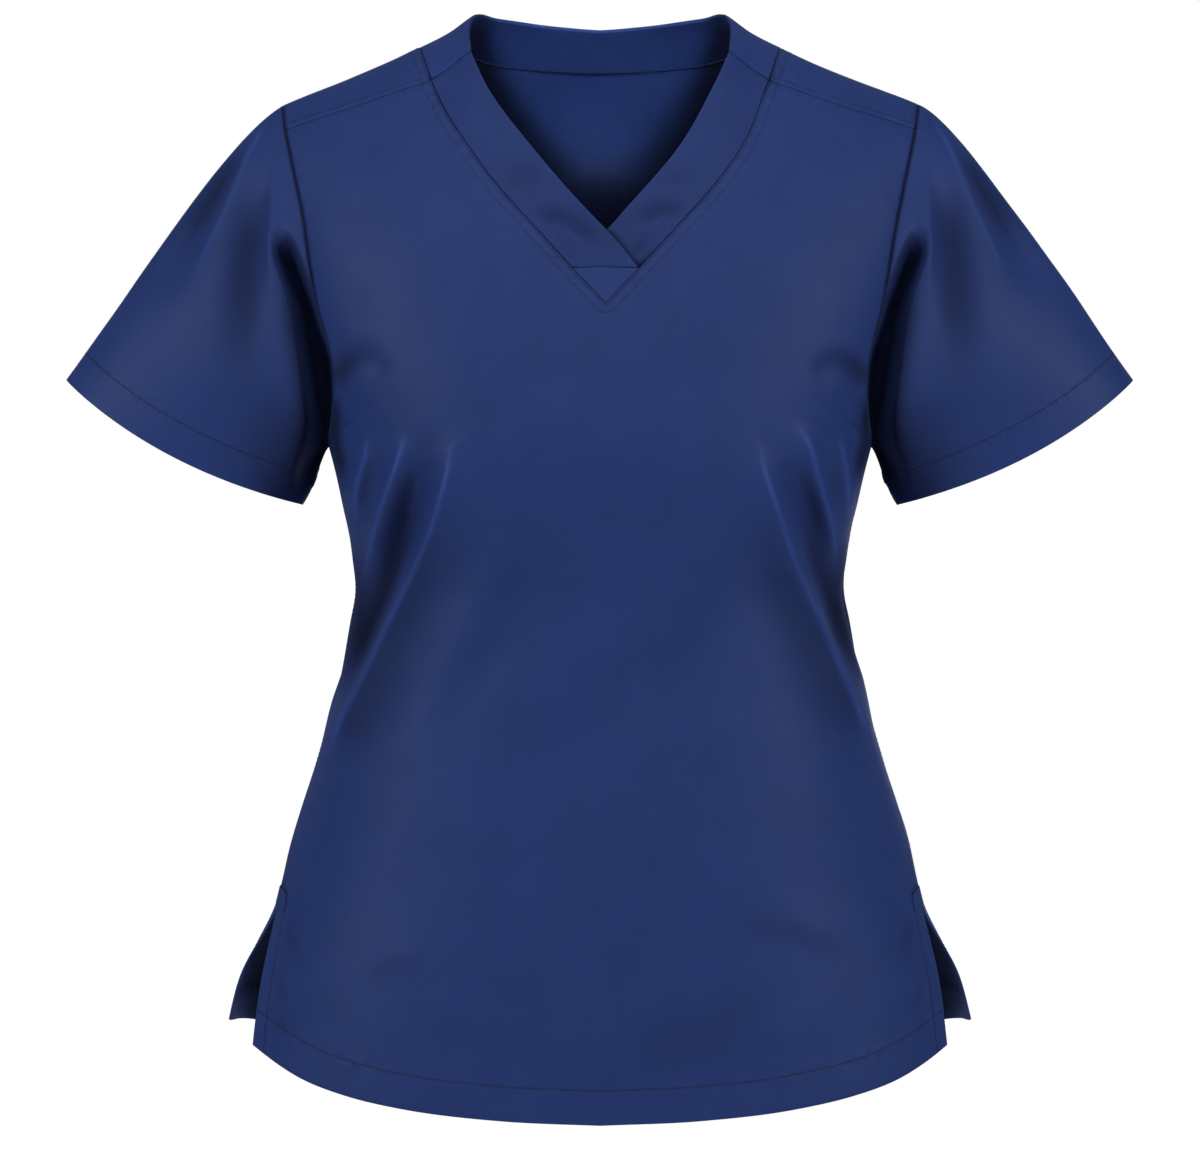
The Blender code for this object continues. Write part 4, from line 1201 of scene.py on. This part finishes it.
def build_wall(name, mesh, material):
    """A closed wall of cloth with rounded rims: the sheet is its outer face."""
    thickness = mesh.verts.layers.float["wall"]
    across = mesh.verts.layers.float_vector["across"]
    room, room_inside = mesh.verts.layers.float["open"], mesh.verts.layers.float["open_inside"]
    outer_only = [mesh.verts.layers.float[name] for name in OUTER_ONLY]
    moved = bmesh.ops.extrude_face_region(mesh, geom=mesh.faces[:], use_keep_orig=True)
    for item in moved["geom"]:
        if isinstance(item, bmesh.types.BMVert):
            item.co -= item[across] * item[thickness]
            # The inner face takes the painted light and shade of the reverse
            item[room] = item[room_inside]
            for layer in outer_only:
                item[layer] = 1
    bmesh.ops.recalc_face_normals(mesh, faces=mesh.faces[:])
    rims = [edge for edge in mesh.edges if edge.calc_face_angle(0) > RIM_ANGLE]
    bmesh.ops.bevel(
        mesh, geom=rims, offset=ROLL, offset_type="OFFSET", segments=ROLL_STEPS, profile=0.5, affect="EDGES",
        material=-1, clamp_overlap=True,
    )
    uv = mesh.loops.layers.uv.new("cloth")
    cut = mesh.verts.layers.float_vector["cloth"]
    for face in mesh.faces:
        face.smooth = True
        for loop in face.loops:
            loop[uv].uv = loop.vert[cut].xy
    data = bpy.data.meshes.new(name)
    mesh.to_mesh(data)
    mesh.free()
    for layer in BUILDING_ONLY:
        if layer in data.attributes and data.attributes[layer].domain == "POINT":
            data.attributes.remove(data.attributes[layer])
    return finished(name, data, material)


def finished(name, data, material):
    """A piece of the top made of a mesh."""
    data.materials.append(material)
    piece = bpy.data.objects.new(name, data)
    bpy.context.scene.collection.objects.link(piece)
    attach(piece, "root")
    return piece


# Stitches


def inner_line(sheet, edge, distance):
    """A line on the cloth, at a distance in from its edge: points, ways it heads and normals."""
    points, heading = evenly(edge, LINE_STEP)
    facing = np.array([sheet.find_nearest(point)[1] for point in points])
    inward = np.cross(facing, heading)
    tries = []
    for way in (inward, -inward):
        found = [sheet.find_nearest(place) for place in points + way * distance]
        tries.append((sum(hit[3] for hit in found), found))
    found = min(tries, key=lambda entry: entry[0])[1]
    return np.array([hit[0] for hit in found]), np.array([hit[1] for hit in found])


def stitches(line, facing, trim=0, below=0):
    """The place of each stitch along a line on the cloth, or, this far below it, on its reverse."""
    at = np.arange(trim + STITCH_PITCH / 2, measured(line)[-1] - trim, STITCH_PITCH)
    points, normal = at_steps(line, at), at_steps(line, at, facing)
    heading = np.gradient(points, axis=0)
    places = []
    for point, up, way in zip(points, normal, heading):
        up, way = Vector(up).normalized(), Vector(way).normalized()
        if below:
            point = point - np.array(up) * below
            up = -up
        side = up.cross(way).normalized()
        thick = up * STITCH_WIDTH * STITCH_FLATNESS
        axes = Matrix((way * STITCH_LENGTH, side * STITCH_WIDTH, thick)).transposed()
        places.append(Matrix.Translation(point) @ axes.to_4x4())
    return places


def sew(name, places, material):
    """All of a piece's stitches as one mesh."""
    shape = bmesh.new()
    lengthwise = Matrix.Rotation(math.pi / 2, 4, "Y")
    bmesh.ops.create_uvsphere(
        shape, u_segments=STITCH_SIDES, v_segments=STITCH_RINGS, radius=0.5, matrix=lengthwise
    )
    for face in shape.faces:
        face.smooth = True
    one = bpy.data.meshes.new("stitch")
    shape.to_mesh(one)
    shape.free()
    mesh = bmesh.new()
    for place in places:
        placed = one.copy()
        placed.transform(place)
        mesh.from_mesh(placed)
        bpy.data.meshes.remove(placed)
    bpy.data.meshes.remove(one)
    data = bpy.data.meshes.new(name)
    mesh.to_mesh(data)
    mesh.free()
    piece = finished(name, data, material)


def place_stitches(sheets, front_lines, back_lines, tubes):
    """The places of the stitches at the neck, on the nape, along the seams and at the hems."""
    surface = {name: BVHTree.FromBMesh(mesh) for name, mesh in sheets.items()}

    def sewn(name, line, distance, **ends):
        return stitches(*inner_line(surface[name], line, distance), **ends)

    neck, nape = front_lines["from_neck"][0], back_lines["from_neck"][0]
    necks, seams, hems = [], [], []
    for offset in NECK_STITCHES:
        necks += sewn("front", neck, offset, trim=NECK_TRIM)
        necks += sewn("back", nape, offset, trim=NECK_TRIM)
    on_nape = sewn("neckband_back", nape, NECK_STITCHES[0], trim=NAPE_TRIM, below=BAND_WALL)
    for line in back_lines["from_shoulder"]:
        seams += sewn("back", line, SHOULDER_STITCH)
    for line in front_lines["from_side"]:
        seams += sewn("front", line, SIDE_STITCH)
    for name, lines in (("front", front_lines), ("back", back_lines)):
        hems += sewn(name, lines["from_hem"][0], HEM_DEPTH, trim=FACING_DEPTH)
        for line in lines["from_facing"]:
            hems += sewn(name, line, FACING_DEPTH)
    for name, tube in tubes.items():
        hems += sewn(name, tube[0], HEM_DEPTH)
    return necks, on_nape, seams, hems


# Materials


def new_group(name, inputs, outputs):
    """A shader group with named values in and out: its tree, what it is given and where its results go."""
    tree = bpy.data.node_groups.new(name, "ShaderNodeTree")
    for label, default in inputs.items():
        socket = tree.interface.new_socket(label, in_out="INPUT", socket_type="NodeSocketFloat")
        socket.default_value = default
    for label in outputs:
        tree.interface.new_socket(label, in_out="OUTPUT", socket_type="NodeSocketFloat")
    return tree, tree.nodes.new("NodeGroupInput").outputs, tree.nodes.new("NodeGroupOutput").inputs


def plug(tree, value, socket):
    """Links a socket to a socket, or sets it to a number."""
    if isinstance(value, bpy.types.NodeSocket):
        tree.links.new(value, socket)
    else:
        socket.default_value = value


def reckon(tree, operation, *values):
    """The result of a sum with sockets or numbers."""
    node = tree.nodes.new("ShaderNodeMath")
    node.operation = operation
    for value, socket in zip(values, node.inputs):
        plug(tree, value, socket)
    return node.outputs[0]


def sums(tree):
    """The four commonest sums in a tree: times, plus, less, and times then plus."""
    return [partial(reckon, tree, name) for name in ("MULTIPLY", "ADD", "SUBTRACT", "MULTIPLY_ADD")]


def bell(tree, away, width):
    """1 on a line, falling to 0 round about this far from it."""
    ratio = reckon(tree, "DIVIDE", away, width)
    return reckon(tree, "EXPONENT", reckon(tree, "MULTIPLY", reckon(tree, "MULTIPLY", ratio, ratio), -1.0))


def wave(tree, angle):
    """A wave from 0 to 1."""
    return reckon(tree, "MULTIPLY_ADD", reckon(tree, "SINE", angle), 0.5, 0.5)


def object_place(tree):
    """The place in the piece's own coordinates."""
    return tree.nodes.new("ShaderNodeTexCoord").outputs["Object"]


def attribute(tree, name):
    """The value that a mesh holds at its vertices."""
    node = tree.nodes.new("ShaderNodeAttribute")
    node.attribute_name = name
    return node.outputs["Fac"]


def noise(tree, vector, name):
    """One of the named kinds of unevenness, from 0 to 1."""
    node = tree.nodes.new("ShaderNodeTexNoise")
    plug(tree, vector, node.inputs["Vector"])
    for label, value in zip(("Scale", "Detail", "Roughness"), NOISES[name]):
        node.inputs[label].default_value = value
    return node.outputs["Fac"]


def twill_group():
    """Diagonal ribs of a twill on the cut of the cloth, with slubs: a height from 0 to 1 and a shade."""
    tree, given, put = new_group("twill", {"Ribs": RIBS, "Slub": SLUB}, ["Height", "Shade"])
    times, plus, _, times_plus = sums(tree)
    cut = tree.nodes.new("ShaderNodeUVMap")
    cut.uv_map = "cloth"
    apart = tree.nodes.new("ShaderNodeSeparateXYZ")
    plug(tree, cut.outputs["UV"], apart.inputs[0])
    x, y = apart.outputs["X"], apart.outputs["Y"]
    wander = times(noise(tree, cut.outputs["UV"], "slub"), given["Slub"])
    climb = times(plus(x, times(y, RIB_CLIMB)), given["Ribs"])
    rib = wave(tree, times(plus(climb, times(wander, SLUB_PUSH)), 2 * math.pi))
    weft = wave(tree, times(x, times(given["Ribs"], 2 * math.pi * WEFTS_PER_RIB)))
    height = times_plus(rib, 1 - WEFT_SHARE, times(weft, WEFT_SHARE))
    plug(tree, height, put["Height"])
    plug(tree, times_plus(height, TWILL_CONTRAST, TWILL_TONE), put["Shade"])
    return tree


def crinkle_group():
    """Soft handling marks: a height in metres and a patchiness round 1."""
    inputs = {"Depth": CRINKLE_DEPTH, "Patchiness": PATCHINESS}
    tree, given, put = new_group("crinkle", inputs, ["Height", "Shade"])
    times, plus, less, times_plus = sums(tree)
    place = object_place(tree)
    broad = times(noise(tree, place, "broad crinkle"), BROAD_CRINKLES)
    fine = times(noise(tree, place, "fine crinkle"), FINE_CRINKLES)
    plug(tree, times(plus(broad, fine), given["Depth"]), put["Height"])
    broad_patch = less(noise(tree, place, "broad patch"), 0.5)
    small_patch = less(noise(tree, place, "small patch"), 0.5)
    patches = times_plus(small_patch, SMALL_PATCHES, broad_patch)
    plug(tree, times_plus(patches, given["Patchiness"], 1.0), put["Shade"])
    return tree


def sewn_group():
    """The dent that a line of stitches pulls into the cloth at an offset from an edge, with small puckers
    beside it: a height in metres and a mask of the dent, which sets where painted shade darkens it."""
    inputs = {"Distance": 1.0, "Offset": 0.0, "Depth": 0.0, "Width": 1.0, "Pucker": PUCKER_HEIGHT}
    tree, given, put = new_group("sewn", inputs, ["Height", "Dent"])
    times, _, less, times_plus = sums(tree)
    away = less(given["Distance"], given["Offset"])
    dent = bell(tree, away, given["Width"])
    spread = reckon(tree, "EXPONENT", times(reckon(tree, "ABSOLUTE", away), -1 / PUCKER_REACH))
    pucker = times(less(noise(tree, object_place(tree), "pucker"), 0.5), spread)
    sunk = times(dent, times(given["Depth"], -1.0))
    plug(tree, times_plus(pucker, times(given["Pucker"], 2.0), sunk), put["Height"])
    plug(tree, dent, put["Dent"])
    return tree


def place_group(tree, group, **values):
    """A group in a material, with its own values. Gives what it puts out."""
    node = tree.nodes.new("ShaderNodeGroup")
    node.node_tree = group
    for label, value in values.items():
        plug(tree, value, node.inputs[label])
    return node.outputs


def new_material(name, finish):
    """A material whose shader has these plain values, with its tree and its shader's sockets."""
    material = bpy.data.materials.new(name)
    material.use_nodes = True
    shader = material.node_tree.nodes["Principled BSDF"]
    for label, value in finish.items():
        shader.inputs[label].default_value = value
    return material, material.node_tree, shader.inputs


def mix_colours(tree, share, first, second, held):
    """A colour between two or, if it isn't held between them, also past them."""
    node = tree.nodes.new("ShaderNodeMix")
    node.data_type = "RGBA"
    node.clamp_factor = held
    node.inputs[FIRST_COLOUR].default_value = (*first, 1)
    node.inputs[SECOND_COLOUR].default_value = (*second, 1)
    plug(tree, share, node.inputs["Factor"])
    return node.outputs[MIXED_COLOUR]


def bumped(tree, height, distance):
    """The normal that a height gives, where a height of 1 stands for this distance."""
    node = tree.nodes.new("ShaderNodeBump")
    node.inputs["Distance"].default_value = distance
    plug(tree, height, node.inputs["Height"])
    return node.outputs["Normal"]


def tones(colour, shares_of_it):
    """A colour darkened or lightened channel by channel."""
    return [channel * share for channel, share in zip(colour, shares_of_it)]


def cloth_material(name, tone, light_tone):
    """Twill with its weave, handling marks and the dents along its topstitching, with painted shade in its
    folds and dents, painted highlights on crisp crests and painted light on its reverse.
    """
    material, tree, shader = new_material(name, CLOTH_FINISH)
    times, plus, _, times_plus = sums(tree)
    weave, crinkles = place_group(tree, twill_group()), place_group(tree, crinkle_group())
    sewn = sewn_group()
    height = times_plus(weave["Height"], TWILL_RELIEF, crinkles["Height"])
    shade = times(weave["Shade"], crinkles["Shade"])
    for edge, offset, depth, width, dent_painted_shade in SEWN_LINES:
        away = attribute(tree, edge)
        line = place_group(tree, sewn, Distance=away, Offset=offset, Depth=depth, Width=width)
        height = plus(height, line["Height"])
        # Painted shade in each stitched dent
        shade = times(shade, times_plus(line["Dent"], -dent_painted_shade, 1.0))
    # A painted highlight along crisp crests, with a slight raised bump
    crest = times(bell(tree, attribute(tree, "crest"), CREST_WIDTH), attribute(tree, "crest_strength"))
    height = times_plus(crest, CREST_HEIGHT, height)
    shade = times(shade, times_plus(crest, CREST_PAINTED_HIGHLIGHT, 1.0))
    room = reckon(tree, "POWER", attribute(tree, "open"), FOLD_POWER)
    # The colour runs from painted shade in folds to the bare colour, and past it as painted light on the
    # reverse
    colour = mix_colours(tree, times(shade, room), tones(tone, PAINTED_SHADE_SHARES), light_tone, held=False)
    bare = reckon(tree, "MINIMUM", room, 1.0)
    plug(tree, bumped(tree, height, 1.0), shader["Normal"])
    plug(tree, colour, shader["Base Color"])
    plug(tree, times_plus(bare, BARE_ROUGHNESS - DEEP_ROUGHNESS, DEEP_ROUGHNESS), shader["Roughness"])
    return material


def thread_material(name, colour):
    """Twisted thread, light and dark along its strands."""
    material, tree, shader = new_material(name, THREAD_FINISH)
    strands = noise(tree, object_place(tree), "strands")
    dark, light = [tones(colour, [tone] * 3) for tone in STRAND_TONES]
    plug(tree, mix_colours(tree, strands, dark, light, held=True), shader["Base Color"])
    plug(tree, bumped(tree, strands, STRAND_RELIEF), shader["Normal"])
    return material


# The room


def area_light(name, place, aim, size, power, spread):
    """A softbox that points at a place."""
    lamp = bpy.data.lights.new(name, "AREA")
    lamp.shape = "RECTANGLE"
    lamp.size, lamp.size_y = size
    lamp.energy = power
    lamp.spread = math.radians(spread)
    holder = bpy.data.objects.new(name, lamp)
    holder.location = place
    holder.rotation_euler = (Vector(aim) - Vector(place)).to_track_quat("-Z", "Y").to_euler()
    bpy.context.scene.collection.objects.link(holder)


def pale_floor():
    """The round floor, far below the top."""
    mesh = bmesh.new()
    bmesh.ops.create_circle(mesh, cap_ends=True, segments=FLOOR_SIDES, radius=FLOOR_RADIUS)
    bmesh.ops.translate(mesh, verts=mesh.verts, vec=(0, 0, FLOOR_LEVEL))
    data = bpy.data.meshes.new("floor")
    mesh.to_mesh(data)
    mesh.free()
    data.materials.append(new_material("pale floor", FLOOR_FINISH)[0])
    floor = bpy.data.objects.new("floor", data)
    bpy.context.scene.collection.objects.link(floor)


def front_camera():
    """The camera, level and straight in front."""
    lens = bpy.data.cameras.new("camera")
    lens.sensor_fit = "HORIZONTAL"
    lens.angle = 2 * math.atan(VIEW_WIDTH / 2 / CAMERA_AWAY)
    lens.clip_end = VIEW_DEPTH
    camera = bpy.data.objects.new("camera", lens)
    camera.location = (0, -CAMERA_AWAY, VIEW_CENTRE)
    camera.rotation_euler = (math.pi / 2, 0, 0)
    bpy.context.scene.collection.objects.link(camera)
    bpy.context.scene.camera = camera


def pale_room():
    """A white backdrop that gives less light than it shows."""
    world = bpy.data.worlds.new("pale room")
    bpy.context.scene.world = world
    world.use_nodes = True
    tree = world.node_tree
    backdrop = tree.nodes["Background"]
    backdrop.inputs["Color"].default_value = (1, 1, 1, 1)
    seen = tree.nodes.new("ShaderNodeLightPath").outputs["Is Camera Ray"]
    plug(tree, reckon(tree, "MULTIPLY_ADD", seen, 1 - ROOM_LIGHT, ROOM_LIGHT), backdrop.inputs["Strength"])


def studio():
    """The camera, the lamps, the room and the floor."""
    bpy.context.scene.view_settings.view_transform = "Standard"
    front_camera()
    for lamp in LAMPS:
        area_light(*lamp)
    pale_room()
    pale_floor()


# The top


def panel_lines(front, back, yokes, rings):
    """The lines of points along the front's and the back's seams and edges, each by its edge's name."""
    right, left = [yoke[:, neck_column(yoke)] for yoke in yokes.values()]
    nape = joined(right[::-1], back[-1, NECK_COLUMNS][::-1], left)
    shoulders = [yoke[-1] for yoke in yokes.values()]
    front_lines = {
        "from_neck": [front[-1, NECK_COLUMNS]],
        "from_hem": [front[0]],
        "from_facing": [front[VENT_ROWS, k] for k in ENDS],
        "from_side": [front[SIDE_ROWS, k] for k in ENDS],
        "from_seam": [front[-1]],
        "from_armhole": [front[ARMHOLE_ROWS, k] for k in ENDS],
    }
    back_lines = {
        "from_neck": [nape],
        "from_shoulder": shoulders,
        "from_hem": [back[0]],
        "from_facing": [back[VENT_ROWS, k] for k in ENDS],
        "from_seam": [nape, *shoulders],
        "from_armhole": [ring[ARMHOLE_CELLS:] for ring in rings.values()],
    }
    return front_lines, back_lines


def band_sheets():
    """The three neckbands' sheets."""
    bands = {
        "neckband_back": (back_band(), ()),
        "neckband_right": front_band(-1),
        "neckband_left": under_band(),
    }
    return {
        name: open_sheet([grid], BAND_WALL, {"from_seam": [grid[0], grid[:, 0], grid[:, -1]]}, marks)
        for name, (grid, marks) in bands.items()
    }


def main():
    """The room, then the top: its sheets, their walls and its stitches."""
    studio()
    front, back, front_marks, back_marks = front_and_back()
    yokes = make_yokes(back)
    rings = {half: armhole(front, back, yokes[half], half) for half in HALVES}
    front_lines, back_lines = panel_lines(front, back, yokes, rings)

    sheets = {
        "front": open_sheet([front], WALL, front_lines, front_marks),
        "back": open_sheet([back, *yokes.values()], WALL, back_lines, back_marks),
        "neck_inset": open_sheet([inset()], WALL, {"from_seam": front_lines["from_neck"]}),
        **band_sheets(),
    }
    tubes = {}
    for side, half in zip(("right", "left"), HALVES):
        tube, marks = sleeve(rings[half], half)
        tubes[f"sleeve_{side}"] = tube
        lines = {"from_hem": [tube[0]], "from_armhole": [tube[-1]]}
        sheets[f"sleeve_{side}"] = open_sheet([tube], WALL, lines, marks, SLEEVE_HEM_WALL)
        patch_on = stay(front, back, half)
        lines = {"from_seam": [patch_on[0], patch_on[-1]]}
        sheets[f"{STAY}_{side}"] = open_sheet([patch_on], STAY_WALL, lines)
    match_rims(list(sheets.values()))
    shade_folds(sheets)

    necks, on_nape, seams, hems = place_stitches(sheets, front_lines, back_lines, tubes)
    navy = cloth_material("navy twill", NAVY, NAVY_LIGHT)
    for name, mesh in sheets.items():
        piece = build_wall(f"{name}_cloth", mesh, navy)
        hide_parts(name)
    thread = thread_material("navy thread", THREAD)
    sew("neck_topstitching", necks, thread)
    sew("nape_stitching", on_nape, thread_material("pale blue thread", PALE_THREAD))
    sew("seam_topstitching", seams, thread)
    sew("hem_stitching", hems, thread)


main()
